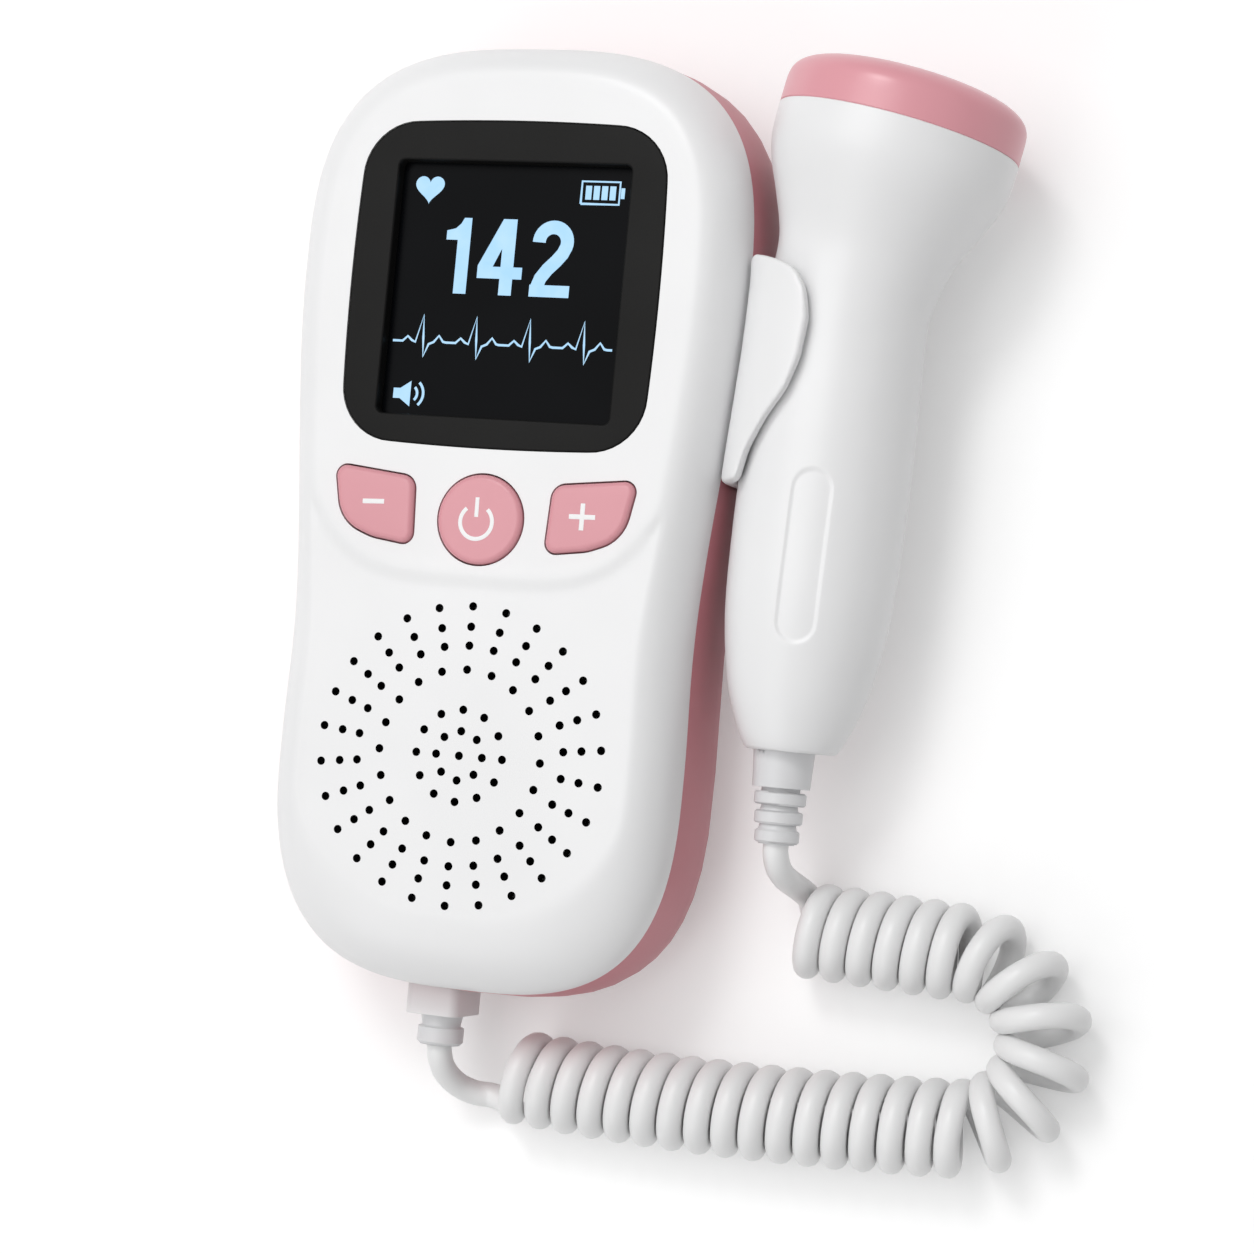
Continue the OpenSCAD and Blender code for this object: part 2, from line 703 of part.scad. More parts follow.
module speaker_cone() {
    color([0.2, 0.2, 0.22]) translate([0, speaker_y, speaker_top_z]) rotate_extrude($fn = 96)
        polygon([[0, -cone_depth + 1.2], [5, -cone_depth], [speaker_r - 6, -0.9],
                 [speaker_r - 4.6, -0.2], [speaker_r - 3.1, -0.6], [speaker_r - 3.1, -0.2],
                 [speaker_r - 4.6, 0.2], [speaker_r - 6.4, -0.4], [5, -cone_depth + 0.6],
                 [0, -cone_depth + 2]]);
}

module speaker_magnet() {
    color([0.3, 0.3, 0.32]) translate([0, speaker_y, speaker_top_z - speaker_t])
        mirror([0, 0, 1]) rotate_extrude($fn = 96)
            polygon([[0, -0.8], [4.9, -0.8], [4.9, 0], [magnet_r, 0], [magnet_r, 3],
                     [magnet_r - 0.5, 3.5], [0, 3.5]]);
}

// ---- Batteries and their door -----------------------------------------------------------------

cell_x = (cell_d + cell_gap) / 2;
cell_z = door_t + cell_gap + cell_d / 2;

module battery_cells() {
    color([0.35, 0.38, 0.42]) for (s = [-1, 1])
        translate([s * cell_x, bay_y - s * cell_l / 2, cell_z]) rotate([-90 * s, 0, 0])
            rotate_extrude($fn = 64)
                polygon([[0, 0], [cell_d / 2 - 0.4, 0], [cell_d / 2, 0.4],
                         [cell_d / 2, cell_l - 1.6], [cell_d / 2 - 0.5, cell_l - 1.1],
                         [2.7, cell_l - 1.1], [2.7, cell_l], [0, cell_l]]);
}

// A plate on the bay's end wall with a leaf bent out to the cell, at each end of each cell
leaf_t = 0.4;
leaf_w = 8;
module battery_contacts() {
    color(metal) for (s = [-1, 1], e = [-1, 1])
        translate([s * cell_x - leaf_w / 2, bay_y + e * bay_l / 2, cell_z])
            scale([1, -e, 1]) rotate([90, 0, 90]) linear_extrude(leaf_w)
                polygon([[0, -6], [leaf_t, -6], [contact_room - 0.1, -0.6],
                         [contact_room - 0.1, 0.4], [leaf_t + 0.5, 3.5], [leaf_t + 0.2, 3.2],
                         [contact_room - 0.6, 0], [leaf_t, -4.6], [leaf_t, 6], [0, 6]]);
}

module battery_door() {
    color(pink) difference() {
        union() {
            translate([0, bay_y, door_t / 2]) cube([door_w, door_l, door_t], center = true);
            // Two tabs reach in over the case's floor at the upper end
            for (x = tab_places) translate([x - tab_w / 2, door_top_y - 2.4, door_t - lap])
                cube([tab_w, 3.1, tab_t + lap]);
            translate([-latch_w / 2, door_low_y + 0.2, door_t - lap])
                cube([latch_w, latch_t, latch_h + lap]);
        }
        // The tabs clear the floor by a hair
        for (x = tab_places) translate([x - tab_w / 2 - 1, door_top_y, door_t - 1])
            cube([tab_w + 2, 2, 1 + tab_lift]);
        // Ridged thumb hold
        for (k = [0 : 4]) translate([0, bay_y - door_l / 2 + 6 + 2 * k, 0])
            cube([14, 0.9, 0.8], center = true);
    }
}

// ---- Earphone jack and probe socket -----------------------------------------------------------

jack_face_x = half_w(jack_y) + rear_swell * 0.4;
jack_set_in = wall + 0.7;    // its body starts inside the wall, behind its nose
module earphone_jack() {
    color(black) translate([-jack_face_x, jack_y, jack_z]) difference() {
        union() {
            rotate([0, 90, 0]) cylinder(r = jack_nose_r, h = jack_set_in + lap);
            translate([jack_set_in, -jack_body / 2, -jack_body / 2])
                cube([jack_depth + 1.9 - jack_set_in, jack_body, jack_body]);
        }
        translate([-1, 0, 0]) rotate([0, 90, 0]) cylinder(r = jack_bore_r, h = jack_depth + 1);
    }
}

module probe_socket() {
    nose_w = plug_w - 2 * socket_wall;
    nose_h = plug_h - 2 * socket_wall;
    color(black) translate([plug_x, socket_y, plug_z]) difference() {
        translate([-plug_w / 2, 0, -plug_h / 2 - socket_wall + 1])
            cube([plug_w, socket_l, plug_h + 2 * socket_wall - 2]);
        translate([-nose_w / 2 - plug_gap, -1, -nose_h / 2 - plug_gap])
            cube([nose_w + 2 * plug_gap, plug_nose + 1.4, nose_h + 2 * plug_gap]);
        at_pins() rotate([-90, 0, 0]) cylinder(r = pin_r + pin_gap, h = plug_nose + pin_l + 0.3);
    }
}

pin_r = 0.45;
pin_l = 1;
pin_gap = 0.1;
module at_pins() {
    for (x = [-1.2, 1.2], z = [-2, 0, 2]) translate([x, 0, z]) children();
}

// ---- Case screws ------------------------------------------------------------------------------

module case_screws() {
    color(metal) at_case_screws() translate([0, 0, case_head_z]) {
        cylinder(r = 2 * screw_r, h = 2);
        cylinder(r = screw_r, h = inner_front_z - case_head_z - 2);
    }
}

// ---- Probe ------------------------------------------------------------------------------------

head_from = 34.5;        // where the head's own lean begins, along the probe
band_from = 59;          // the head is straight-sided from here to round_from
round_from = 64.4;       // where its rounded front begins
round_power = 3.5;       // how square that front is
straight_from = 32;      // the neck is straight from here to straight_to
straight_to = 37;
handle_low = -33;

// Places its children in the probe's frame: local Z runs along the axis towards the head
module in_probe() {
    translate([probe_x, 0, probe_z]) rotate([0, 0, -probe_lean]) rotate([-90, 0, 0]) children();
}

module in_head() {
    in_probe() translate([0, 0, head_from]) rotate([0, head_lean, 0])
        translate([0, 0, -head_from]) children();
}

// Smooth curve through the knots, as a list of points
function curve_point(a, b, c, d, t) =
    0.5 * (2 * b + (c - a) * t + (2 * a - 5 * b + 4 * c - d) * t * t
           + (3 * b - a - 3 * c + d) * t * t * t);
function curve(knots, steps) =
    let (n = len(knots))
    concat([for (i = [0 : n - 2], k = [0 : steps - 1])
        curve_point(knots[max(0, i - 1)], knots[i], knots[i + 1], knots[min(n - 1, i + 2)],
                    k / steps)], [knots[n - 1]]);

// Half section of the probe: [place along the axis, radius]
handle_knots = [[handle_low, 5], [-31.5, 6.8], [-28, 8.6], [-22, handle_r - 2.1],
                [-12, handle_r - 0.5], [0, handle_r], [11, handle_r], [20, neck_r + 0.2],
                [27, neck_r], [straight_from, neck_r]];
head_knots = [[straight_to, neck_r], [43, neck_r + 0.7], [48.5, head_r - 3.3],
              [53, head_r - 1.3], [56.5, head_r - 0.2], [band_from, head_r]];
side_curve = concat(curve(handle_knots, 2), curve(head_knots, 3), [[round_from, head_r]]);
front_steps = 9;

function unit(v) = v / norm(v);
function moved(points, grow) =
    let (n = len(points))
    [for (i = [0 : n - 1])
        let (t = unit(points[min(n - 1, i + 1)] - points[max(0, i - 1)]))
        points[i] + grow * [-t.y, t.x]];

// Whole half section, moved outwards by grow
function section(grow) = concat(moved(side_curve, grow),
    [for (k = [1 : front_steps]) let (a = 90 * k / front_steps)
        [round_from + (head_end + grow - round_from) * pow(sin(a), 2 / round_power),
         (head_r + grow) * pow(abs(cos(a)), 2 / round_power)]]);

// The part of a half section between two places, as [radius, place along the axis]
function part_of(points, low, high) = concat(
    low > points[0].x ? [[lookup(low, points), low]] : [],
    [for (p = points) if (p.x > low && p.x < high) [max(0, p.y), p.x]],
    high < points[len(points) - 1].x
        ? [[lookup(high, points), high]] : [[0, points[len(points) - 1].x]]);

function backwards(list) = [for (i = [len(list) - 1 : -1 : 0]) list[i]];

// Solid of the probe between two places, moved outwards by grow
module probe_solid(grow, low, high) {
    part = part_of(section(grow), low, high);
    rotate_extrude($fn = 72) polygon(concat([[0, part[0].y]], part,
        part[len(part) - 1].x > 0 ? [[0, part[len(part) - 1].y]] : []));
}

// Wall of the probe between two places, closed where an end is past the hollow's own end
module probe_shell(low, high) {
    outer = part_of(section(0), low, high);
    inner = part_of(section(-probe_wall), max(low, hollow_low), high);
    rotate_extrude($fn = 72) polygon(concat(
        low < hollow_low ? [[0, outer[0].y]] : [], outer,
        backwards(inner), low < hollow_low ? [[0, inner[0].y]] : []));
}

hollow_low = -29.4;
relief_x = probe_x - 2.05;      // the strain relief hangs straight down from the handle's end
handle_end_y = -31.6;
relief_core_r = 3;
relief_core = 4;

// Half of space on the head's side of the joint between handle and head
module head_side(way) {
    in_probe() translate([0, 0, head_from]) rotate([0, head_lean / 2, 0])
        translate([-big / 2, -big / 2, way > 0 ? 0 : -big]) cube(big);
}

module probe_body() {
    color(white) difference() {
        union() {
            difference() {
                in_probe() probe_shell(handle_low, straight_to);
                head_side(1);
            }
            difference() {
                in_head() probe_shell(straight_from, cap_from);
                head_side(-1);
            }
        }
        translate([-big / 2, handle_end_y - big, -big / 2]) cube(big);
        translate([relief_x, handle_end_y - 1, probe_z]) rotate([-90, 0, 0])
            cylinder(r = relief_core_r + screw_gap, h = relief_core + 1);
        pill_recess();
    }
}

// Shallow bare recess along the handle, a little round to the right of its front
pill_l = 25.2;
pill_w = 5.9;
pill_turn = 7.5;
module pill_recess() {
    in_probe() rotate([0, 0, pill_turn]) translate([0, -handle_r + 0.4, -3.1])
        rotate([90, 0, 0]) linear_extrude(big) rounded_rect(pill_w, pill_l, pill_w / 2 - 0.01);
}

module probe_cap() {
    color(pink) in_head() probe_shell(cap_from, head_end + 1);
}

disc_top = head_end - probe_wall - 0.45;
module transducer_discs() {
    color(metal) in_head() difference() {
        translate([0, 0, disc_top - disc_t]) cylinder(r = disc_r - 3, h = disc_t);
        translate([-0.4, -big / 2, 0]) cube([0.8, big, big]);
    }
}

// Foam puck behind the discs, seated in the cap and the head
backing_gap = 0.3;
module transducer_backing() {
    color([0.25, 0.25, 0.27]) in_head() translate([0, 0, cap_from - backing_gap])
        cylinder(r = head_r - probe_wall - backing_gap,
                 h = disc_top - disc_t - cap_from + backing_gap);
}

probe_board_l = 36;
module probe_board() {
    color([0.12, 0.38, 0.22]) in_probe() intersection() {
        translate([-handle_r, -0.6, -probe_board_l / 2]) cube([2 * handle_r, 1.2, probe_board_l]);
        probe_solid(-probe_wall - seat_gap, -30, 30);
    }
}

relief_l = 13.8;
relief_sleeve_l = 5.4;
module probe_strain_relief() {
    step = relief_l - relief_sleeve_l;
    ring_n = 3;
    color([0.75, 0.75, 0.77]) translate([relief_x, handle_end_y, probe_z]) rotate([90, 0, 0])
        rotate_extrude($fn = 48) polygon(concat(
            [[0, -relief_core + 0.2], [relief_core_r, -relief_core + 0.2],
             [relief_core_r, 0], [4.6, 0], [4.3, relief_sleeve_l], [2.9, relief_sleeve_l]],
            [for (k = [0 : ring_n - 1])
                let (y = relief_sleeve_l + 0.6 + k * step / ring_n, r = 3.9 - 0.28 * k)
                each [[2.9, y], [r - 0.3, y], [r, y + 0.3], [r, y + 1.7], [r - 0.3, y + 2],
                      [2.7, y + 2]]],
            [[2.7, relief_l], [0, relief_l]]));
}

// ---- Probe clip -------------------------------------------------------------------------------

clip_reach = 47.8;        // how far the wing reaches out over the probe

// Plan of the wing, as seen from the front
clip_plan = [[clip_face_x, clip_low + 0.2], [38, clip_low], [39.5, clip_low + 4.8],
             [42.4, clip_low + 9.7], [45.3, clip_low + 13.6], [47, clip_low + 18.2],
             [clip_reach, clip_low + 24.2], [47, clip_low + 28.6], [45, clip_high - 2.9],
             [41.5, clip_high - 1.4], [37, clip_high], [clip_face_x, clip_high]];

module probe_clip() {
    color(white) difference() {
        intersection() {
            linear_extrude(big) polygon(rounded(clip_plan,
                [0.2, 1.5, 3, 4, 6, 5, 5, 5, 3, 3, 2, 0.2]));
            union() {
                in_probe() probe_solid(clip_gap + clip_wall, clip_low - 9, clip_high + 4);
                translate([clip_face_x, 0, clip_z_low])
                    cube([clip_reach - 7.2 - clip_face_x, 60, part_z - clip_z_low - seat_gap]);
            }
            translate([clip_face_x, 0, 6]) cube(big);
        }
        in_probe() probe_solid(clip_gap, -30, 60);
        // Clear of the case outside the seat in its side
        front_clear();
        for (y = clip_screw_ys) translate([clip_face_x - 1, y, clip_screw_z])
            rotate([0, 90, 0]) cylinder(r = screw_r + screw_gap, h = clip_screw_bite + 1.2);
    }
}

module front_clear() {
    translate([0, 0, part_z - seat_gap / 2]) linear_extrude(big) polygon(outline(-0.4));
}

module clip_screws() {
    color(metal) for (y = clip_screw_ys)
        translate([clip_face_x - clip_pad_t, y, clip_screw_z]) rotate([0, 90, 0]) {
            translate([0, 0, -1.6]) cylinder(r = 2.2, h = 1.6);
            translate([0, 0, -lap]) cylinder(r = screw_r, h = clip_pad_t + clip_screw_bite);
        }
}

// ---- Plug -------------------------------------------------------------------------------------

plug_face_y = case_low_y - plug_out;
module plug_housing() {
    nose_w = plug_w - 2 * socket_wall;
    nose_h = plug_h - 2 * socket_wall;
    color(white) translate([plug_x, 0, plug_z]) rotate([90, 0, 0]) {
        translate([0, 0, -socket_y + plug_gap]) linear_extrude(socket_y - plug_gap - plug_face_y)
            rounded_rect(plug_w, plug_h, 1.5);
        translate([0, 0, -socket_y - plug_nose]) linear_extrude(plug_nose + plug_gap + lap)
            square([nose_w, nose_h], center = true);
    }
}

module plug_pins() {
    color([0.8, 0.65, 0.3]) translate([plug_x, socket_y + plug_nose, plug_z]) at_pins()
        rotate([-90, 0, 0]) cylinder(r = pin_r, h = pin_l);
}

plug_relief_l = 4.8;
module plug_strain_relief() {
    color([0.75, 0.75, 0.77]) translate([plug_x, plug_face_y, plug_z]) rotate([90, 0, 0])
        rotate_extrude($fn = 48)
            polygon([[0, 0], [3.3, 0], [3, 1.7], [3.1, 1.9], [3.6, 2.1], [3.6, plug_relief_l - 0.5],
                     [3.1, plug_relief_l], [0, plug_relief_l]]);
}

// ---- Cord -------------------------------------------------------------------------------------

cord_r = cord_d / 2;
coil_r = coil_d / 2 - cord_r;          // radius of the curls' middle line
coil_z = coil_d / 2 + 0.05;            // the coil lies on the table
coil_start = [0, -85.4];
coil_heading = -4;
front_leg = [39.5, 5];                 // [length, turn in degrees]
front_leg_2 = [35, 3];
bend = [bend_r * 174 * PI / 180, 174];
back_leg = [21.5, 0];
coil_legs = [front_leg, front_leg_2, bend, back_leg];

// Place and heading after going a distance along one leg from [x, y, heading]
function go(from, leg, s) =
    let (turn = leg[1] * s / leg[0], mid = from[2] + turn / 2,
         half = turn / 2 * PI / 180, chord = abs(half) < 0.0001 ? s : s * sin(turn / 2) / half)
    [from[0] + chord * cos(mid), from[1] + chord * sin(mid), from[2] + turn];

function along(from, legs, s) =
    s <= legs[0][0] || len(legs) == 1
    ? go(from, legs[0], s)
    : along(go(from, legs[0], legs[0][0]), [for (i = [1 : len(legs) - 1]) legs[i]],
            s - legs[0][0]);

// Point of the coil at a distance along its axis and an angle round it
function coil_point(s, angle) =
    let (p = along([coil_start.x, coil_start.y, coil_heading], coil_legs, s))
    [p[0] - coil_r * cos(angle) * sin(p[2]), p[1] + coil_r * cos(angle) * cos(p[2]),
     coil_z + coil_r * sin(angle)];

// The cord comes in along the coil's lower front, then turns into the first curl
entry_angle = 220;
entry_turn_r = 5.5;
entry_steps = 4;
front_len = front_leg[0] + front_leg_2[0] - entry_turn_r;
front_pitch = front_len / front_curls;
curl_lean = atan(front_pitch / (2 * PI * coil_r));
entry = [for (k = [0 : entry_steps]) let (a = (90 - curl_lean) * k / entry_steps)
    coil_point(entry_turn_r * sin(a),
               entry_angle - entry_turn_r * (1 - cos(a)) / coil_r * 180 / PI)];
first_angle = entry_angle - entry_turn_r * (1 - sin(curl_lean)) / coil_r * 180 / PI;
first_s = entry_turn_r * cos(curl_lean);

all_curls = front_curls + bend_curls + back_curls;
rings_a_curl = 8;
curl_steps = round(all_curls * rings_a_curl);
function curl_place(c) =
    c < front_curls ? first_s + (front_leg[0] + front_leg_2[0] - first_s) * c / front_curls
    : c < front_curls + bend_curls
      ? front_leg[0] + front_leg_2[0] + bend[0] * (c - front_curls) / bend_curls
      : front_leg[0] + front_leg_2[0] + bend[0]
        + back_leg[0] * (c - front_curls - bend_curls) / back_curls;
curls = [for (k = [1 : curl_steps]) let (c = all_curls * k / curl_steps)
    coil_point(curl_place(c), first_angle - 360 * c)];

entry_dir = (entry[0] - coil_point(1, entry_angle)) / norm(entry[0] - coil_point(1, entry_angle));
exit_dir = (curls[curl_steps - 1] - curls[curl_steps - 2])
    / norm(curls[curl_steps - 1] - curls[curl_steps - 2]);
coil_path = concat([entry[0] + entry_dir * cord_d], entry, curls,
                   [curls[curl_steps - 1] + exit_dir * cord_d]);

// Free stretches, through points set by hand, straight and a little clear at both ends
lead_gap = 0.3;
lead_straight = 1;
function lead_path(from, points, to, dir) =
    let (a = from - [0, lead_gap, 0], b = to + lead_gap * dir)
    concat([a], curve(concat([a - [0, lead_straight, 0]], points, [b + lead_straight * dir]), 3),
           [b]);
plug_lead_from = [plug_x, plug_face_y - plug_relief_l, plug_z];
plug_lead_path = lead_path(plug_lead_from,
    [[-7, -85.2, 11.6], [-7.6, -87.3, 9.2], [-7.7, -88.7, 6.6], [-6.9, -89.3, 4.6]],
    coil_path[0], entry_dir);
probe_lead_from = [relief_x, handle_end_y - relief_l, probe_z];
probe_lead_path = lead_path(probe_lead_from,
    [[46.8, -49.3, 17.2], [47.9, -50.6, 13.4]], coil_path[len(coil_path) - 1], exit_dir);

// Tube of so many sides swept along a path; its end faces stand square to the path's ends
function heading_at(p, i) =
    unit(p[min(len(p) - 1, i + 1)] - p[max(0, i - 1)]);
function side_dirs(p, i, last) =
    i == len(p) ? []
    : let (h = heading_at(p, i), d = unit(last - (last * h) * h))
      concat([d], side_dirs(p, i + 1, d));

module tube(path, sides, start) {
    dirs = side_dirs(path, 0, start);
    n = len(path);
    points = [for (i = [0 : n - 1]) let (h = heading_at(path, i), a = dirs[i], b = cross(h, a))
        each [for (k = [0 : sides - 1]) let (w = 360 * (k + 0.5) / sides)
            path[i] + cord_r * (cos(w) * a + sin(w) * b)]];
    skin = [for (i = [0 : n - 2], k = [0 : sides - 1]) let (q = (k + 1) % sides)
        each [[i * sides + k, (i + 1) * sides + k, (i + 1) * sides + q],
              [i * sides + k, (i + 1) * sides + q, i * sides + q]]];
    first = [for (k = [0 : sides - 1]) k];
    final = [for (k = [sides - 1 : -1 : 0]) (n - 1) * sides + k];
    polyhedron(points = points, faces = concat([first, final], skin));
}

module curly_cord() {
    color(white) tube(coil_path, 6, [0, 0, 1]);
}

module cord_plug_lead() {
    color(white) tube(plug_lead_path, 8, [0, 0, 1]);
}

module cord_probe_lead() {
    color(white) tube(probe_lead_path, 8, [0, 0, 1]);
}

// Least gap between one turn and the next, from points on the middle line
coil_gap = min([for (i = [0 : len(coil_path) - 1 - 5])
    min([for (j = [i + 5 : min(len(coil_path) - 1, i + 12)])
        norm(coil_path[i] - coil_path[j])])]) - cord_d;
echo(coil_least_gap = coil_gap);

front_shell();
rear_shell();
screen_bezel();
display_glass();
lcd_module();
lcd_holder();
main_board();
board_screws();
tact_switches();
minus_button();
power_button();
plus_button();
speaker_gasket();
speaker_frame();
speaker_cone();
speaker_magnet();
battery_cells();
battery_contacts();
battery_door();
earphone_jack();
probe_socket();
case_screws();
probe_clip();
clip_screws();
probe_body();
probe_cap();
transducer_discs();
transducer_backing();
probe_board();
probe_strain_relief();
plug_housing();
plug_pins();
plug_strain_relief();
cord_plug_lead();
curly_cord();
cord_probe_lead();
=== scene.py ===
import math

import bmesh
import bpy
from mathutils import Matrix, Vector


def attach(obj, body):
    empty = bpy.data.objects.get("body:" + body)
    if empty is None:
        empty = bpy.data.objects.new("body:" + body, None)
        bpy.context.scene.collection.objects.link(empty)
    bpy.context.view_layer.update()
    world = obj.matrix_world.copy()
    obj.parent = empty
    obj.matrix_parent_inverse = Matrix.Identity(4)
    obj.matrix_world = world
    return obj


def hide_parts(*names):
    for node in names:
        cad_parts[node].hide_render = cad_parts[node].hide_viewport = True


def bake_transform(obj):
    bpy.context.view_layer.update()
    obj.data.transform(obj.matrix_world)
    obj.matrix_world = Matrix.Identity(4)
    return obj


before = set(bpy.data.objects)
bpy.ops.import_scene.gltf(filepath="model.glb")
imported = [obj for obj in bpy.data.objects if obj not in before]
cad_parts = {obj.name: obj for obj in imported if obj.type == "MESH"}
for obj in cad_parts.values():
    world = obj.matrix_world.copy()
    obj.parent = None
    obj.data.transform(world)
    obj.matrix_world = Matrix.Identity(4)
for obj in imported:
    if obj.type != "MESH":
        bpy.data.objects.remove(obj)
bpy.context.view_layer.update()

MM = 0.001


def placed(name, data):
    """A new object in the scene."""
    thing = bpy.data.objects.new(name, data)
    bpy.context.scene.collection.objects.link(thing)
    return thing


# ---- Camera ----------------------------------------------------------------------------------

CAMERA_AT = (0.1629, -0.0339, 0.4440)
CAMERA_TURN = (0.073153, 0.319278, 0.097728)


def place_camera():
    """The photograph's viewing angle, through an 85 mm lens."""
    data = bpy.data.cameras.new("photo_camera")
    data.lens = 85
    data.sensor_width = 36
    data.clip_start = 0.01
    camera = placed("photo_camera", data)
    camera.location = CAMERA_AT
    camera.rotation_euler = CAMERA_TURN
    bpy.context.scene.camera = camera


place_camera()


# ---- Materials -------------------------------------------------------------------------------

GRAIN_STRENGTH = 0.6


def new_group(name, inputs, outputs):
    """An empty shader node group with named sockets, and its two ends."""
    group = bpy.data.node_groups.new(name, "ShaderNodeTree")
    for label, kind in inputs:
        group.interface.new_socket(label, in_out="INPUT", socket_type=kind)
    for label, kind in outputs:
        group.interface.new_socket(label, in_out="OUTPUT", socket_type=kind)
    return group, group.nodes.new("NodeGroupInput"), group.nodes.new("NodeGroupOutput")


def maths(tree, operation, *values):
    """The result of a Math node that is fed with sockets or plain numbers."""
    node = tree.nodes.new("ShaderNodeMath")
    node.operation = operation
    for socket, value in zip(node.inputs, values):
        if isinstance(value, bpy.types.NodeSocket):
            tree.links.new(value, socket)
        else:
            socket.default_value = value
    return node.outputs[0]


def moulded_finish():
    """Colour that drifts a little, a roughness that varies, and the height of a fine grain."""
    group, inside, out = new_group(
        "moulded_finish",
        [("Color", "NodeSocketColor"), ("Shade", "NodeSocketColor"),
         ("Roughness", "NodeSocketFloat"), ("Spread", "NodeSocketFloat"),
         ("Grain Scale", "NodeSocketFloat"), ("Drift Scale", "NodeSocketFloat")],
        [("Color", "NodeSocketColor"), ("Roughness", "NodeSocketFloat"),
         ("Height", "NodeSocketFloat")])
    nodes, links = group.nodes, group.links
    place = nodes.new("ShaderNodeTexCoord")
    drift = nodes.new("ShaderNodeTexNoise")
    drift.inputs["Detail"].default_value = 3
    grain = nodes.new("ShaderNodeTexNoise")
    grain.inputs["Detail"].default_value = 2
    links.new(place.outputs["Object"], drift.inputs["Vector"])
    links.new(place.outputs["Object"], grain.inputs["Vector"])
    links.new(inside.outputs["Drift Scale"], drift.inputs["Scale"])
    links.new(inside.outputs["Grain Scale"], grain.inputs["Scale"])
    soften = nodes.new("ShaderNodeMapRange")
    soften.interpolation_type = "SMOOTHSTEP"
    soften.inputs["From Min"].default_value = 0.2
    soften.inputs["From Max"].default_value = 0.8
    links.new(drift.outputs["Fac"], soften.inputs["Value"])
    mix = nodes.new("ShaderNodeMix")
    mix.data_type = "RGBA"
    first_color, second_color = mix.inputs[6], mix.inputs[7]
    links.new(soften.outputs["Result"], mix.inputs["Factor"])
    links.new(inside.outputs["Color"], first_color)
    links.new(inside.outputs["Shade"], second_color)
    centred = maths(group, "SUBTRACT", soften.outputs["Result"], 0.5)
    rough = maths(group, "MULTIPLY_ADD", centred, inside.outputs["Spread"],
                  inside.outputs["Roughness"])
    links.new(mix.outputs[2], out.inputs["Color"])
    links.new(rough, out.inputs["Roughness"])
    links.new(grain.outputs["Fac"], out.inputs["Height"])
    return group


FINISH = moulded_finish()


def moulded(name, color, shade=0.97, roughness=0.4, spread=0.06, grain=5000, bump=0.000012,
            drift=45, metallic=0.0, coat=0.0, specular=0.5):
    """Procedural finish of a moulded, pressed or plated piece."""
    material = bpy.data.materials.new(name)
    material.use_nodes = True
    nodes, links = material.node_tree.nodes, material.node_tree.links
    shader = nodes["Principled BSDF"]
    finish = nodes.new("ShaderNodeGroup")
    finish.node_tree = FINISH
    finish.inputs["Color"].default_value = (*color, 1)
    finish.inputs["Shade"].default_value = (*[c * shade for c in color], 1)
    finish.inputs["Roughness"].default_value = roughness
    finish.inputs["Spread"].default_value = spread
    finish.inputs["Grain Scale"].default_value = grain
    finish.inputs["Drift Scale"].default_value = drift
    relief = nodes.new("ShaderNodeBump")
    relief.inputs["Strength"].default_value = GRAIN_STRENGTH
    relief.inputs["Distance"].default_value = bump
    links.new(finish.outputs["Height"], relief.inputs["Height"])
    links.new(relief.outputs["Normal"], shader.inputs["Normal"])
    links.new(finish.outputs["Color"], shader.inputs["Base Color"])
    links.new(finish.outputs["Roughness"], shader.inputs["Roughness"])
    shader.inputs["Metallic"].default_value = metallic
    shader.inputs["Coat Weight"].default_value = coat
    shader.inputs["Specular IOR Level"].default_value = specular
    return material


def glowing(name, color, strength):
    """Lit figures of the display, a touch deeper blue in places as a backlight is."""
    material = moulded(name, (0.01, 0.012, 0.015), roughness=0.5)
    nodes, links = material.node_tree.nodes, material.node_tree.links
    shader = nodes["Principled BSDF"]
    glow = nodes.new("ShaderNodeGroup")
    glow.node_tree = FINISH
    glow.inputs["Color"].default_value = (*color, 1)
    glow.inputs["Shade"].default_value = (color[0] * 0.8, color[1] * 0.92, color[2], 1)
    glow.inputs["Drift Scale"].default_value = 260
    links.new(glow.outputs["Color"], shader.inputs["Emission Color"])
    shader.inputs["Emission Strength"].default_value = strength
    return material


WHITE = moulded("white_shell", (0.86, 0.86, 0.865), roughness=0.36, grain=7000)
PROBE_WHITE = moulded("probe_white", (0.86, 0.86, 0.865), roughness=0.34, grain=7000)
PINK = moulded("pink_shell", (0.60, 0.205, 0.24), roughness=0.42, shade=0.95)
BUTTON_PINK = moulded("button_pink", (0.72, 0.32, 0.36), roughness=0.40, shade=0.96)
CAP_PINK = moulded("cap_pink", (0.75, 0.335, 0.38), roughness=0.3, shade=0.98, spread=0.03)
BEZEL = moulded("bezel_black", (0.009, 0.0088, 0.0085), roughness=0.48, grain=3500,
                bump=0.00002, shade=0.85, specular=0.12)
GLASS = moulded("display_dark", (0.0016, 0.002, 0.003), roughness=0.3, shade=0.6, bump=0.0,
                specular=0.05)
# Painted shade: near black, put on the white walls of the grille's holes in place of the shade that
# falls inside them
HOLE_PAINTED_SHADE = moulded("hole_painted_shade", (0.006, 0.006, 0.006), roughness=0.7, specular=0.1)
GLOW = glowing("display_glow", (0.47, 0.745, 0.98), 1.0)
PRINT = moulded("printed_white", (0.90, 0.90, 0.90), roughness=0.45)
CORD = moulded("cord_white", (0.85, 0.85, 0.85), roughness=0.36, grain=2500, bump=0.00002)
RELIEF = moulded("relief_grey", (0.72, 0.72, 0.73), roughness=0.40)
PLUG_WHITE = moulded("plug_white", (0.82, 0.82, 0.825), roughness=0.36)
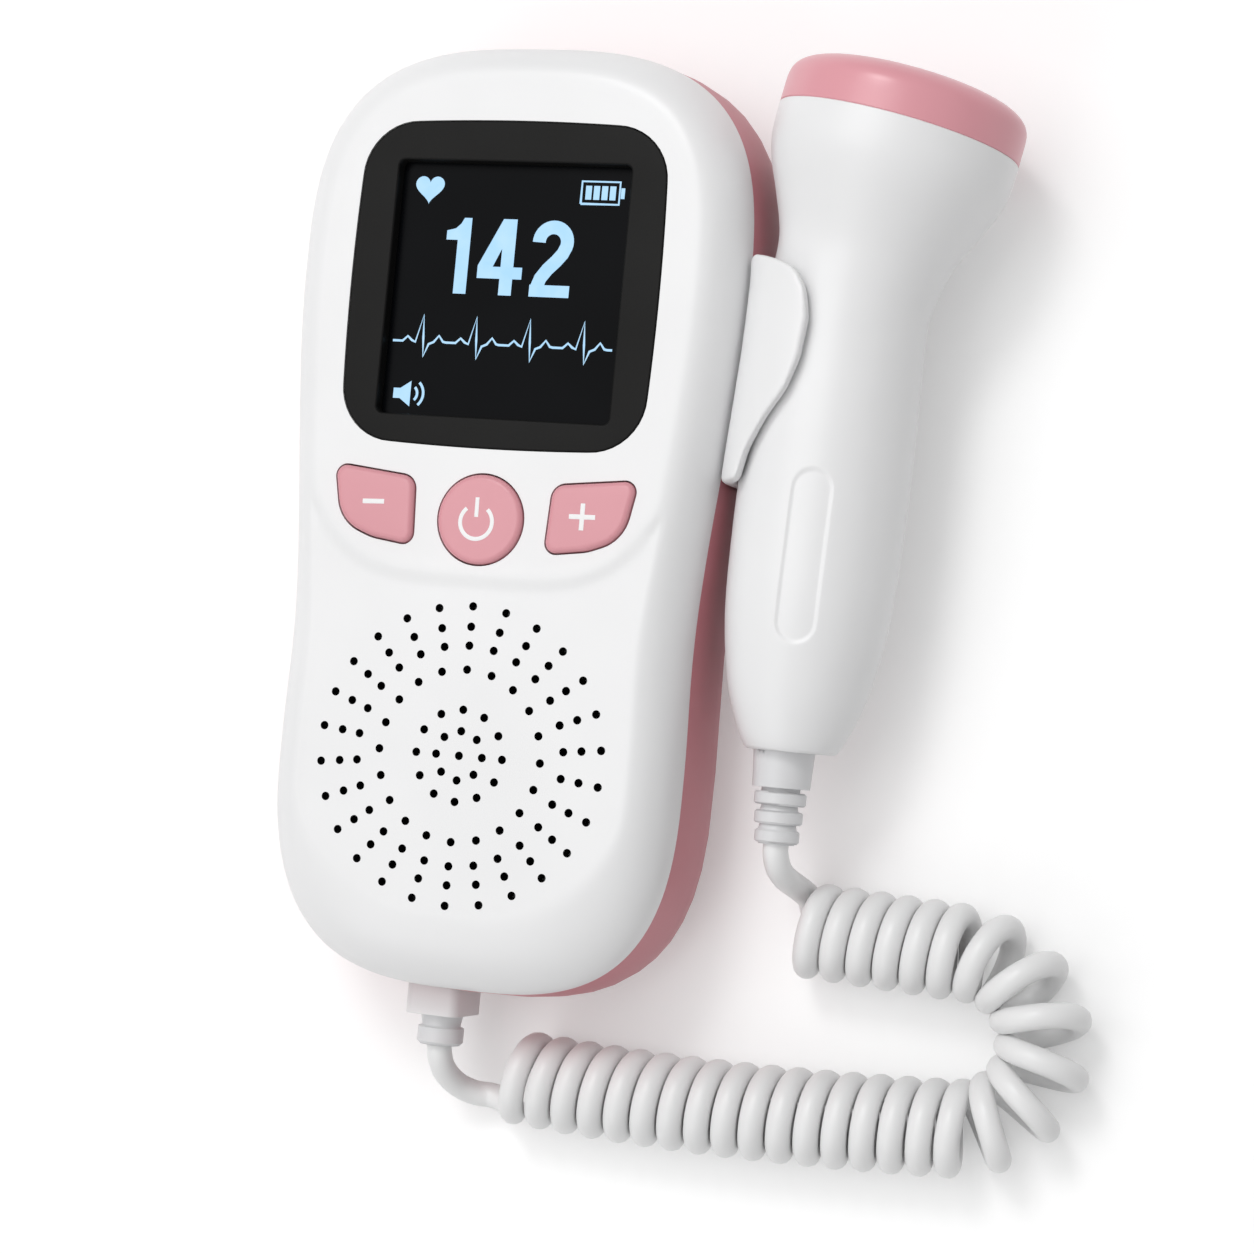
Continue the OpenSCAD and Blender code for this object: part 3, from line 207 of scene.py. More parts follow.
BOARD = moulded("board_green", (0.02, 0.13, 0.055), roughness=0.35, shade=0.8, drift=90)
STEEL = moulded("bright_steel", (0.62, 0.62, 0.63), roughness=0.28, metallic=1.0, shade=0.9)
LCD_FRAME = moulded("lcd_frame", (0.45, 0.46, 0.47), roughness=0.4, metallic=1.0)
FOAM = moulded("gasket_foam", (0.02, 0.02, 0.02), roughness=0.9, grain=1500, bump=0.0002)
PAPER = moulded("speaker_paper", (0.02, 0.02, 0.021), roughness=0.85, grain=1800, bump=0.0001)
FERRITE = moulded("magnet_ferrite", (0.06, 0.06, 0.065), roughness=0.6)
SLEEVE = moulded("cell_sleeve", (0.05, 0.11, 0.20), roughness=0.3, coat=0.3)
BLACK = moulded("black_plastic", (0.012, 0.012, 0.012), roughness=0.45)
GOLD = moulded("plated_gold", (0.8, 0.55, 0.2), roughness=0.25, metallic=1.0)
CERAMIC = moulded("fired_ceramic", (0.55, 0.5, 0.42), roughness=0.6)


# ---- Making and finishing --------------------------------------------------------------------

SAME_POINT = 1e-7
SAME_CAD_POINT = 2e-6
# Cell in millimetres and rounds of smoothing that round a thick moulding's edges
SOFT_CELL = 0.32
SOFT_PASSES = 36


def as_mesh(name, bm):
    mesh = bpy.data.meshes.new(name)
    bm.to_mesh(mesh)
    bm.free()
    return mesh


def in_order(bm):
    """Edges and faces in the order of their points, because extruding gives one that varies."""
    bm.verts.index_update()
    count = len(bm.verts)

    def rank(part):
        indices = [vert.index for vert in part.verts]
        return min(indices) * count + max(indices)

    bm.edges.sort(key=rank)
    bm.faces.sort(key=rank)


def finished(name, bm, body, material, stands_for=(), sharp=40):
    """A closed bmesh as a piece of the monitor, with its faces turned outwards."""
    in_order(bm)
    bmesh.ops.remove_doubles(bm, verts=bm.verts, dist=SAME_POINT)
    bmesh.ops.recalc_face_normals(bm, faces=bm.faces)
    return dressed(name, as_mesh(name, bm), body, material, stands_for, sharp)


def dressed(name, mesh, body, material, stands_for=(), sharp=40):
    """The mesh as a piece that rides on its body. Edges past the sharp angle stay crisp."""
    for face in mesh.polygons:
        face.use_smooth = True
    mesh.set_sharp_from_angle(angle=math.radians(sharp))
    mesh.materials.clear()
    mesh.materials.append(material)
    piece = placed(name, mesh)
    if body:
        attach(piece, body)
    if stands_for:
        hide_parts(*stands_for)
    return piece


def weighted(piece):
    """Flat faces keep their own light right up to a rounded edge."""
    modifier = piece.modifiers.new("face_weight", "WEIGHTED_NORMAL")
    modifier.mode = "FACE_AREA"
    modifier.weight = 50
    modifier.keep_sharp = True


def baked(piece):
    """The piece's mesh with its modifiers applied."""
    view = bpy.context.evaluated_depsgraph_get()
    mesh = bpy.data.meshes.new_from_object(piece.evaluated_get(view))
    bpy.data.objects.remove(piece)
    return mesh


def loose(name, bm):
    """A helper object, used by a modifier and then removed."""
    in_order(bm)
    bmesh.ops.recalc_face_normals(bm, faces=bm.faces)
    return placed(name, as_mesh(name, bm))


def cut(piece, cutter):
    """Cuts the closed solids of cutter out of piece, and gives back the new mesh."""
    modifier = piece.modifiers.new("cut", "BOOLEAN")
    modifier.operation = "DIFFERENCE"
    modifier.solver = "EXACT"
    modifier.object = cutter
    mesh = baked(piece)
    bpy.data.objects.remove(cutter)
    return mesh


def stack(bm, rings, capped=True):
    """Extrudes the first ring through the others, point by point, and closes both ends."""
    place = bm.verts.layers.int.get("place") or bm.verts.layers.int.new("place")
    ring = [bm.verts.new(p) for p in rings[0]]
    for index, vert in enumerate(ring):
        vert[place] = index
    edges = [bm.edges.new((vert, ring[(i + 1) % len(ring)])) for i, vert in enumerate(ring)]
    if capped:
        bm.faces.new(ring)
    for points in rings[1:]:
        grown = bmesh.ops.extrude_edge_only(bm, edges=edges)["geom"]
        ring = [v for v in grown if isinstance(v, bmesh.types.BMVert)]
        fresh = set(ring)
        for vert in ring:
            vert.co = points[vert[place]]
        edges = [e for e in grown
                 if isinstance(e, bmesh.types.BMEdge) and fresh.issuperset(e.verts)]
    if capped:
        bmesh.ops.contextual_create(bm, geom=edges)


def prism(bm, outline, low, high):
    """Straight-sided solid on a plan outline, in millimetres."""
    stack(bm, [[(x * MM, y * MM, z * MM) for x, y in outline] for z in (low, high)])


def spun(bm, profile, steps=96):
    """Solid of revolution about Z from [radius, height] points in millimetres, ends on the axis."""
    verts = [bm.verts.new((r * MM, 0, z * MM)) for r, z in profile]
    edges = [bm.edges.new(pair) for pair in zip(verts, verts[1:])]
    bmesh.ops.spin(bm, geom=verts + edges, cent=(0, 0, 0), axis=(0, 0, 1), steps=steps,
                   angle=2 * math.pi, use_merge=True)
    bmesh.ops.remove_doubles(bm, verts=bm.verts, dist=SAME_POINT)


def smooth(t):
    """Eases from 0 to 1 as t does."""
    t = min(1, max(0, t))
    return t * t * (3 - 2 * t)


def through(knots, steps):
    """Smooth curve through the knots, as points."""
    knots = [Vector(k) for k in knots]
    line = []
    for i in range(len(knots) - 1):
        a, b = knots[max(0, i - 1)], knots[i]
        c, d = knots[i + 1], knots[min(len(knots) - 1, i + 2)]
        for k in range(steps):
            t = k / steps
            line.append(0.5 * (2 * b + (c - a) * t + (2 * a - 5 * b + 4 * c - d) * t * t
                               + (3 * b - a - 3 * c + d) * t ** 3))
    return line + [knots[-1]]


def solid_of(node):
    """A copy of a node's solid with its loose triangles joined."""
    bm = bmesh.new()
    bm.from_mesh(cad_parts[node].data)
    bmesh.ops.remove_doubles(bm, verts=bm.verts, dist=SAME_CAD_POINT)
    return bm


def from_node(node, body, material, edge=0.0, sharp=35):
    """A piece from a node's solid, with its edges rounded by the edge's width."""
    bm = solid_of(node)
    bmesh.ops.dissolve_limit(bm, angle_limit=math.radians(0.6), verts=bm.verts, edges=bm.edges)
    name = node + "_finished"
    piece = dressed(name, as_mesh(name, bm), body, material, [node], sharp)
    if edge:
        bevel = piece.modifiers.new("edge", "BEVEL")
        bevel.width = edge * MM
        bevel.segments = 2
        bevel.limit_method = "ANGLE"
        bevel.angle_limit = math.radians(sharp)
    weighted(piece)
    return piece


def softened(node, body, material):
    """A piece from a node's solid with broadly rounded edges, as a thick moulding has."""
    shape = loose(node + "_raw", solid_of(node))
    remesh = shape.modifiers.new("remesh", "REMESH")
    remesh.mode = "VOXEL"
    remesh.voxel_size = SOFT_CELL * MM
    relax = shape.modifiers.new("relax", "SMOOTH")
    relax.factor = 0.6
    relax.iterations = SOFT_PASSES
    return dressed(node + "_finished", baked(shape), body, material, [node], 60)


# ---- Cord ------------------------------------------------------------------------------------

CORD_D = 3.9
# The coil's middle line: its start, then the length and the turn in degrees of each leg
COIL_R = 5.45
COIL_Z = 7.45
COIL_FROM = (0.0, -85.4)
COIL_HEADING = -4.0
COIL_LEGS = [(39.5, 5), (35, 3), (13 * math.radians(174), 174), (25.9, 0)]
# Curls on the long row, round the bend and on the short row
CURLS = [16.2, 6.4, 6.292]
RINGS_A_CURL = 30
# The straight start swings into the first curl
ENTRY_ANGLE = 220
ENTRY_R = 5.5
ENTRY_STEPS = 9
# Curls from the start at which the three pieces of the cord meet
SEAMS = (1.72, 15.72)
LEAD_STEPS = 10
PLUG_LEAD = [(-6.6, -80.6, 12.5), (-6.6, -82.4, 12.4), (-6.5, -84.6, 11.3), (-6, -86.7, 9.2),
             (-4.8, -88.4, 6.7), (-2.7, -89.4, 4.8)]
PROBE_LEAD = [(46.3, -44.6, 19.2), (46.3, -46.6, 19.1), (46.5, -48.7, 17.7), (46.8, -50.1, 15.2),
              (47, -50.9, 12.4)]


def along_axis(s):
    """Place and heading on the coil's middle line, s millimetres from its start."""
    x, y = COIL_FROM
    heading = COIL_HEADING
    for number, (length, turn) in enumerate(COIL_LEGS):
        last = number == len(COIL_LEGS) - 1
        step = s if last else min(s, length)
        bend = turn * step / length
        half = math.radians(bend / 2)
        chord = step if abs(half) < 1e-6 else step * math.sin(half) / half
        x += chord * math.cos(math.radians(heading + bend / 2))
        y += chord * math.sin(math.radians(heading + bend / 2))
        heading += bend
        s -= step
        if s <= 0 and not last:
            break
    return x, y, heading


def coil_point(s, angle):
    """A point of the coil, at an angle round its middle line."""
    x, y, heading = along_axis(s)
    out, up = COIL_R * math.cos(math.radians(angle)), COIL_R * math.sin(math.radians(angle))
    return Vector((x - out * math.sin(math.radians(heading)),
                   y + out * math.cos(math.radians(heading)), COIL_Z + up))


def coil_line():
    """Middle line of the curly cord: its straight start, the curls and its straight end."""
    legs = [leg[0] for leg in COIL_LEGS]
    front = legs[0] + legs[1]
    lean = math.atan((front - ENTRY_R) / CURLS[0] / (2 * math.pi * COIL_R))
    entry = []
    for k in range(ENTRY_STEPS):
        a = (math.pi / 2 - lean) * k / (ENTRY_STEPS - 1)
        entry.append(coil_point(ENTRY_R * math.sin(a),
                                ENTRY_ANGLE - math.degrees(ENTRY_R * (1 - math.cos(a)) / COIL_R)))
    first_angle = ENTRY_ANGLE - math.degrees(ENTRY_R * (1 - math.sin(lean)) / COIL_R)
    first_s = ENTRY_R * math.cos(lean)
    curls = []
    total = sum(CURLS)
    steps = round(total * RINGS_A_CURL)
    for k in range(1, steps + 1):
        c = total * k / steps
        if c < CURLS[0]:
            s = first_s + (front - first_s) * c / CURLS[0]
        elif c < CURLS[0] + CURLS[1]:
            s = front + legs[2] * (c - CURLS[0]) / CURLS[1]
        else:
            s = front + legs[2] + legs[3] * (c - CURLS[0] - CURLS[1]) / CURLS[2]
        curls.append(coil_point(s, first_angle - 360 * c))
    return entry + curls


def tube(name, line, width, sides=16):
    """A round tube along a line given in millimetres, as a mesh."""
    data = bpy.data.curves.new(name, "CURVE")
    data.dimensions = "3D"
    data.bevel_depth = width / 2 * MM
    data.bevel_resolution = sides // 2 - 2
    data.use_fill_caps = True
    spline = data.splines.new("POLY")
    spline.points.add(len(line) - 1)
    for point, at in zip(spline.points, line):
        point.co = (*(Vector(at) * MM), 1)
    mesh = baked(placed(name, data))
    bpy.data.curves.remove(data)
    return mesh


def lead_line(lead, coil):
    """Smooth curve through a lead's points that runs into the first turn of the coil."""
    return through(lead + [tuple(coil[0]), tuple(coil[3])], LEAD_STEPS)[:-LEAD_STEPS - 1]


def cord_piece(name, line, body, stands_for):
    return dressed(name, tube(name, line, CORD_D), body, CORD, stands_for, 60)


def lay_cord():
    """Three pieces that meet under a turn: the plug's end, the row that stretches, and the rest."""
    coil = coil_line()
    first_seam, second_seam = (ENTRY_STEPS + round(RINGS_A_CURL * curls) for curls in SEAMS)
    to_plug = lead_line(PLUG_LEAD, coil) + coil[:first_seam]
    row = coil[first_seam - 1:second_seam]
    to_probe = coil[second_seam - 1:] + lead_line(PROBE_LEAD, coil[::-1])[::-1]
    plug_end = cord_piece("plug_end_of_cord", to_plug, None, ["cord_plug_lead"])
    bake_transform(plug_end)
    stretching = cord_piece("curly_cord_row", row, None, ["curly_cord"])
    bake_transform(stretching)
    probe_end = cord_piece("probe_end_of_cord", to_probe, "probe", ["cord_probe_lead"])
    plug = [from_node("plug_housing", "plug", PLUG_WHITE, edge=0.4),
            from_node("plug_strain_relief", "plug", RELIEF),
            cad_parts["plug_pins"]]


lay_cord()


# ---- Outline of the case ---------------------------------------------------------------------

# Where the rounded ends begin, and how long they are
END_Y = 36
END_LEN = 36
# Half widths at the display's end and at the speaker's end, and the slight waist between them
TOP_HALF = 35.6
LOW_HALF = 32.3
WAIST_Y = -20
WAIST_IN = 0.3
# Height of the line between the shells, of the display panel, and the step to the speaker panel
PART_Z = 23
FRONT_Z = 33
PANEL_STEP = 0.4
# The width of that step, and the slight roll along the display panel's edge
PANEL_SOFT = 2.2
ROLL_HIGH, ROLL_IN, ROLL_WIDE = 0.12, 1.6, 1.3
END_STEPS = 36
ROUND_STEPS = 16
FLAT_STEPS = 20
SIDE_ROWS = ([-36 + 2 * k for k in range(1, 10)] + [-17 + 0.5 * k for k in range(0, 52)]
             + [10 + 2 * k for k in range(0, 13)])


def half_width(y):
    """Half the width of the case between its rounded ends."""
    if y > WAIST_Y:
        return (LOW_HALF - WAIST_IN
                + (TOP_HALF - LOW_HALF + WAIST_IN) * smooth((y - WAIST_Y) / (END_Y - WAIST_Y)))
    return LOW_HALF - WAIST_IN * smooth((y + END_Y) / (WAIST_Y + END_Y))


def end_point(a, half, inset, power=3):
    """A point of the rounded end, a squarish curve."""
    return ((half - inset) * abs(math.cos(a)) ** (2 / power),
            END_Y + (END_LEN - inset) * abs(math.sin(a)) ** (2 / power))


def case_places():
    """One maker of a point for each place round the case: it takes how far in the point lies."""
    quarter = [math.pi / 2 * k / END_STEPS for k in range(END_STEPS + 1)]
    right = [lambda s, a=a: (lambda p: (p[0], -p[1]))(end_point(a, LOW_HALF, s))
             for a in reversed(quarter)]
    right += [lambda s, y=y: (half_width(y) - s, y) for y in SIDE_ROWS]
    right += [lambda s, a=a: end_point(a, TOP_HALF, s) for a in quarter]
    left = [lambda s, make=make: (-make(s)[0], make(s)[1]) for make in reversed(right[1:-1])]
    return right + left


PLACES = case_places()


def round_width(y):
    """The front edge is rounded more broadly towards the speaker end."""
    return 6.2 + 1.6 * smooth((6 - y) / 30) + 6.5 * smooth((-44 - y) / 26)


def panel_edge(x):
    """The display panel's lower edge, which curves up towards the sides."""
    return -10.8 + 36 * abs(x / 36.3) ** 4.3


def front_height(x, y, z):
    """The display panel stands a little proud of the speaker panel, with a soft, rolled edge."""
    raised = smooth((y - panel_edge(x)) / PANEL_SOFT + 0.5)
    roll = ROLL_HIGH * math.exp(-((y - panel_edge(x) - ROLL_IN) / ROLL_WIDE) ** 2)
    level = FRONT_Z - PANEL_STEP * (1 - raised)
    if z < level - 0.6:
        return z
    blend_in = smooth((z - level + 0.6) / 0.6)
    return min(z, level) + roll * blend_in * (0 if z < FRONT_Z - 0.01 else 1)


def front_rings():
    """Rings from the line between the shells up the rounded edge and in to the middle."""
    rings = []
    for k in range(ROUND_STEPS + 1):
        a = math.pi / 2 * k / ROUND_STEPS
        ring = []
        for make in PLACES:
            x, y = make(round_width(make(0)[1]) * (1 - math.cos(a)))
            z = PART_Z + (FRONT_Z - PART_Z) * math.sin(a)
            ring.append((x * MM, y * MM, front_height(x, y, z) * MM))
        rings.append(ring)
    for k in range(1, FLAT_STEPS + 1):
        ring = []
        for make in PLACES:
            first = round_width(make(0)[1])
            deepest = min(half_width(make(0)[1]), END_LEN) - 0.001
            x, y = make(first + (deepest - first) * k / FLAT_STEPS)
            ring.append((x * MM, y * MM, front_height(x, y, FRONT_Z) * MM))
        rings.append(ring)
    spine = []
    for make in PLACES:
        y = make(min(half_width(make(0)[1]), END_LEN) - 0.001)[1]
        spine.append((0, y * MM, front_height(0, y, FRONT_Z) * MM))
    rings.append(spine)
    return rings


# ---- Rounded plan shapes ---------------------------------------------------------------------

def rounded(corners, radii, steps=8):
    """Polygon with its corners rounded by arcs."""
    points = []
    count = len(corners)
    for i in range(count):
        a, b, c = (Vector(corners[(i + k) % count]) for k in (-1, 0, 1))
        u, v = (a - b).normalized(), (c - b).normalized()
        half = u.angle(v) / 2
        middle = b + (u + v).normalized() * radii[i] / math.sin(half)
        p = b + u * radii[i] / math.tan(half) - middle
        q = b + v * radii[i] / math.tan(half) - middle
        start = math.atan2(p.y, p.x)
        sweep = math.atan2(q.y, q.x) - start
        sweep = sweep - 2 * math.pi if sweep > math.pi else sweep
        sweep = sweep + 2 * math.pi if sweep < -math.pi else sweep
        for k in range(steps + 1):
            t = start + sweep * k / steps
            points.append((middle.x + radii[i] * math.cos(t), middle.y + radii[i] * math.sin(t)))
    return points


def window_ring(w, h, r, bow=0.0, grow=0.0, corner=10, side=24):
    """Rounded rectangle with slightly bowed sides, the same count of points for any size."""
    w, h, r = w / 2 + grow, h / 2 + grow, max(0.05, r + grow)
    points = []
    for turn, (cx, cy) in enumerate([(w - r, h - r), (-w + r, h - r), (-w + r, -h + r),
                                     (w - r, -h + r)]):
        base = math.pi / 2 * turn
        points += [(cx + r * math.cos(base + math.pi / 2 * k / corner),
                    cy + r * math.sin(base + math.pi / 2 * k / corner))
                   for k in range(corner + 1)]
        ex, ey = points[-1]
        nx, ny = [(-w + r, h), (-w, -h + r), (w - r, -h), (w, h - r)][turn]
        ox, oy = [(0, 1), (-1, 0), (0, -1), (1, 0)][turn]
        for k in range(1, side):
            t = k / side
            push = bow * 4 * t * (1 - t)
            points.append((ex + (nx - ex) * t + ox * push, ey + (ny - ey) * t + oy * push))
    return points


# Corners of the plus button and the radii that round them
SIDE_BUTTON = [(11.1, 4.5), (24.3, 5.9), (22.6, -2.9), (17.3, -4.9), (10.6, -5.8)]
SIDE_RADII = [2.2, 1.6, 6, 8, 1.6]


def grown(corners, grow):
    """A convex outline's corners moved outwards."""
    moved = []
    count = len(corners)
    for i in range(count):
        a, b, c = (Vector(corners[(i + k) % count]) for k in (-1, 0, 1))
        u, v = b - a, c - b
        nu, nv = Vector((-u.y, u.x)).normalized(), Vector((-v.y, v.x)).normalized()
        moved.append(tuple(b + grow * (nu + nv) / (1 + nu.dot(nv))))
    return moved


def side_button_plan(grow, mirror=False):
    """The plus button's outline, or the minus button's, which mirrors it."""
    plan = rounded(grown(SIDE_BUTTON, grow), [r + grow for r in SIDE_RADII])
    return [(-x, y) for x, y in plan] if mirror else plan


def circle_plan(x, y, r, steps=64):
    return [(x + r * math.cos(2 * math.pi * k / steps), y + r * math.sin(2 * math.pi * k / steps))
            for k in range(steps)]


# ---- Front shell -----------------------------------------------------------------------------

BEZEL_Y = 34.2
BEZEL_W, BEZEL_H, BEZEL_R, BEZEL_BOW = 48.8, 48.9, 8.5, 0.35
BEZEL_GAP = 0.1
WINDOW_Y = 33.4
WINDOW_W, WINDOW_H, WINDOW_R = 37.4, 38.8, 1.0
POWER_Y = -1.3
POWER_R = 6.75
BUTTON_GAP = 0.25
SPEAKER_Y = -36.7
SHELL_WALL = 2.0
# From and to which height the openings are cut
OPENING = (PART_Z - 1, FRONT_Z + 5)
GRILLE_HOLE_R = 0.65
# Rings of the grille: radius, holes and the first hole's angle
GRILLE = [(0, 1, 0), (3.68, 8, 0), (6.89, 12, 0), (12.9, 20, 0), (16.5, 26, 180 / 26),
          (19.34, 26, 180 / 26), (22.4, 26, 180 / 26)]


def make_front_shell():
    """The white shell with its wall and openings; the walls of the grille's holes carry painted
    shade, coloured near black for the shade inside them.
    """
    bm = bmesh.new()
    stack(bm, front_rings(), capped=False)
    in_order(bm)
    bmesh.ops.remove_doubles(bm, verts=bm.verts, dist=SAME_CAD_POINT)
    shell = loose("front_shell_raw", bm)
    wall = shell.modifiers.new("wall", "SOLIDIFY")
    wall.thickness = SHELL_WALL * MM
    wall.offset = -1
    holes = bmesh.new()
    bezel = window_ring(BEZEL_W, BEZEL_H, BEZEL_R, BEZEL_BOW, BEZEL_GAP)
    prism(holes, [(x, y + BEZEL_Y) for x, y in bezel], *OPENING)
    for mirror in (False, True):
        prism(holes, side_button_plan(BUTTON_GAP, mirror), *OPENING)
    prism(holes, circle_plan(0, POWER_Y, POWER_R + BUTTON_GAP), *OPENING)
    for radius, count, first in GRILLE:
        for k in range(count):
            a = math.radians(first + 360 * k / count)
            x, y = radius * math.cos(a), SPEAKER_Y + radius * math.sin(a)
            prism(holes, circle_plan(x, y, GRILLE_HOLE_R, 16), *OPENING)
    mesh = cut(shell, loose("front_openings", holes))
    dressed("front_shell_moulding", mesh, "main", WHITE, ["front_shell"])
    # Painted shade: the walls of the grille's holes take the near-black material instead of the
    # shell's white
    mesh.materials.append(HOLE_PAINTED_SHADE)
    for face in mesh.polygons:
        x, y, _ = face.center / MM
        if abs(face.normal.z) < 0.5 and math.hypot(x, y - SPEAKER_Y) < GRILLE[-1][0] + 1:
            face.material_index = 1


make_front_shell()


# ---- Pieces dressed from their CAD solids ----------------------------------------------------

from_node("rear_shell", "main", PINK, sharp=32)
from_node("battery_door", "door", PINK, edge=0.25)
softened("probe_clip", "main", WHITE)
from_node("probe_strain_relief", "probe", RELIEF)


# ---- Bezel and display -----------------------------------------------------------------------

GLASS_Z = 30.8
BEZEL_TOP = FRONT_Z + 0.02
FIGURES_Z = 30.84
FIGURE_HALF = 0.02
FIGURE_LINE, SOUND_LINE = 0.36, 0.42
HEART_STEPS = 48
# Parts of a sign that cross lie this much higher, so that no two faces share a plane
OVER = 0.004
NUMERALS_Y = 32.9
NUMERALS_TALL = 11.6
NUMERALS_BAR = 2.05
BEATS = 4
BEAT_LEN = 8.65
BEAT = [(0, 0), (1.6, 0), (2.4, 0.75), (3.1, 0.15), (3.7, -0.1), (4.75, 4.1), (4.95, 0.6),
        (5.15, -2.3), (5.9, -0.35), (6.7, 0.0), (7.5, 1.0), (8.2, 0.1), (BEAT_LEN, 0)]
WAVE_FROM = (-17.9, 25.35)
WAVE_TO = (17.5, 25.35)


def make_bezel():
    """One closed frame: up its outside, over the rounded rims and down round the window."""
    bm = bmesh.new()
    rings = []
    for grow, z in [(0, GLASS_Z), (0, BEZEL_TOP - 0.3), (-0.09, BEZEL_TOP - 0.09),
                    (-0.3, BEZEL_TOP)]:
        rings.append([(x * MM, (y + BEZEL_Y) * MM, z * MM) for x, y in
                      window_ring(BEZEL_W, BEZEL_H, BEZEL_R, BEZEL_BOW, grow)])
    for grow, z in [(0.35, BEZEL_TOP), (0.1, BEZEL_TOP - 0.1), (0, BEZEL_TOP - 0.35),
                    (0, GLASS_Z)]:
        rings.append([(x * MM, (y + WINDOW_Y) * MM, z * MM) for x, y in
                      window_ring(WINDOW_W, WINDOW_H, WINDOW_R, 0, grow)])
    rings.append(rings[0])
    stack(bm, rings, capped=False)
    piece = finished("bezel_frame", bm, "main", BEZEL, ["screen_bezel"], 50)
    weighted(piece)


make_bezel()


def flat_line(points, width, z, closed=False):
    """A printed or lit line, nearly flat, through points in millimetres."""
    line = [Vector((x, y, 0)) for x, y in points]
    if closed:
        line.append(line[0])
    mesh = tube("line", line, width, 8)
    mesh.transform(Matrix.Translation((0, 0, z * MM)) @ Matrix.Diagonal((1, 1, 0.08, 1)))
    return mesh


def joined(name, meshes, body, material):
    """Several meshes as one piece."""
    bm = bmesh.new()
    for mesh in meshes:
        bm.from_mesh(mesh)
    dressed(name, as_mesh(name, bm), body, material, sharp=30)


def plate(outline, over=0.0):
    """A lit figure of the display: a thin plate on an outline in millimetres."""
    bm = bmesh.new()
    prism(bm, outline, FIGURES_Z - FIGURE_HALF, FIGURES_Z + FIGURE_HALF + over)
    in_order(bm)
    bmesh.ops.recalc_face_normals(bm, faces=bm.faces)
    return as_mesh("plate", bm)


def rectangle(x0, y0, x1, y1):
    return [(x0, y0), (x1, y0), (x1, y1), (x0, y1)]


def stroke(points, width):
    """A thin plate of one width along points in millimetres, with square ends."""
    line = [Vector(p) for p in points]
    sides = ([], [])
    for i, at in enumerate(line):
        way = (line[min(i + 1, len(line) - 1)] - line[max(i - 1, 0)]).normalized() * width / 2
        sides[0].append((at.x - way.y, at.y + way.x))
        sides[1].append((at.x + way.y, at.y - way.x))
    return plate(sides[0] + sides[1][::-1])


def arc(x, y, r, start, stop, steps=20):
    angles = [math.radians(start + (stop - start) * k / steps) for k in range(steps + 1)]
    return [(x + r * math.cos(a), y + r * math.sin(a)) for a in angles]


def moved(points, x, y):
    return [(px + x, py + y) for px, py in points]


def make_numerals():
    """The rate 142 in plain upright numerals."""
    tall, bar, y = NUMERALS_TALL, NUMERALS_BAR, NUMERALS_Y
    one = [(3.9, 0), (3.9, tall), (2.7, tall), (2.2, 10.7), (1.4, 9.95), (0, 9.6), (0, 8.2),
           (3.9 - bar, 8.2), (3.9 - bar, 0)]
    four_stem = rectangle(3.7, 0, 3.7 + bar, tall)
    four_bar = rectangle(0, 2.5, 7.2, 4.3)
    four_slope = [(3.55, tall), (3.7 + bar, tall), (2.0, 3.4), (0, 3.4), (0, 4.4)]
    two_bowl = arc(3.3, 8.35, 2.25, 182, -18)
    two_bowl += [(4.95, 6.6), (4.0, 5.45), (2.75, 4.2), (1.75, 2.85), (1.2, 1.3)]
    two_foot = rectangle(0.12, 0, 6.5, 1.8)
    return [plate(moved(one, -10.7, y)),
            plate(moved(four_slope, -5.2, y)),
            plate(moved(four_stem, -5.2, y), OVER),
            plate(moved(four_bar, -5.2, y), 2 * OVER),
            stroke(moved(two_bowl, 3.3, y), bar),
            plate(moved(two_foot, 3.3, y), OVER)]


def make_heart():
    """The heart sign, which closes from its last point but one straight into the notch."""
    outline = []
    for k in range(HEART_STEPS - 1):
        t = 2 * math.pi * k / HEART_STEPS
        x = 16 * math.sin(t) ** 3
        y = 13 * math.cos(t) - 5 * math.cos(2 * t) - 2 * math.cos(3 * t) - math.cos(4 * t)
        outline.append((-14.2 + x * 2.35 / 16, 48.95 + y * 2.12 / 14.5))
    return [plate(outline)]


def make_battery():
    """The case of the battery sign, its tip and its four bars."""
    parts = [flat_line(rectangle(10.35, 47.2, 16.4, 50.6), FIGURE_LINE, FIGURES_Z, True),
             plate(rectangle(16.6, 48.1, 17.2, 49.7))]
    for k in range(4):
        left = 11.0 + 1.28 * k
        parts.append(plate(rectangle(left, 47.85, left + 0.95, 49.95)))
    return parts


def make_wave():
    """The heartbeat's line across the display."""
    wave = []
    for k in range(BEATS):
        wave += moved(BEAT if k == 0 else BEAT[1:], WAVE_FROM[0] + BEAT_LEN * k, WAVE_FROM[1])
    return [flat_line(wave + [WAVE_TO], FIGURE_LINE, FIGURES_Z)]


def make_speaker():
    """The speaker sign: a cone and two sound waves."""
    cone = [(-17.0, 16.55), (-15.9, 16.55), (-14.2, 15.35), (-14.2, 19.25), (-15.9, 18.1),
            (-17.0, 18.1)]
    waves = [arc(-14.4, 17.35, radius, -48, 48, 12) for radius in (1.3, 2.3)]
    return [plate(cone)] + [flat_line(wave, SOUND_LINE, FIGURES_Z) for wave in waves]


def make_display():
    parts = make_heart() + make_battery() + make_numerals() + make_wave() + make_speaker()
    joined("display_figures", parts, "main", GLOW)


make_display()


# ---- Buttons ---------------------------------------------------------------------------------

BUTTON_TOP = 33.8
# The flange under the shell that holds a button in: how far out, from and to which height
FLANGE, FLANGE_LOW, FLANGE_HIGH = 1.1, 29.55, 30.65
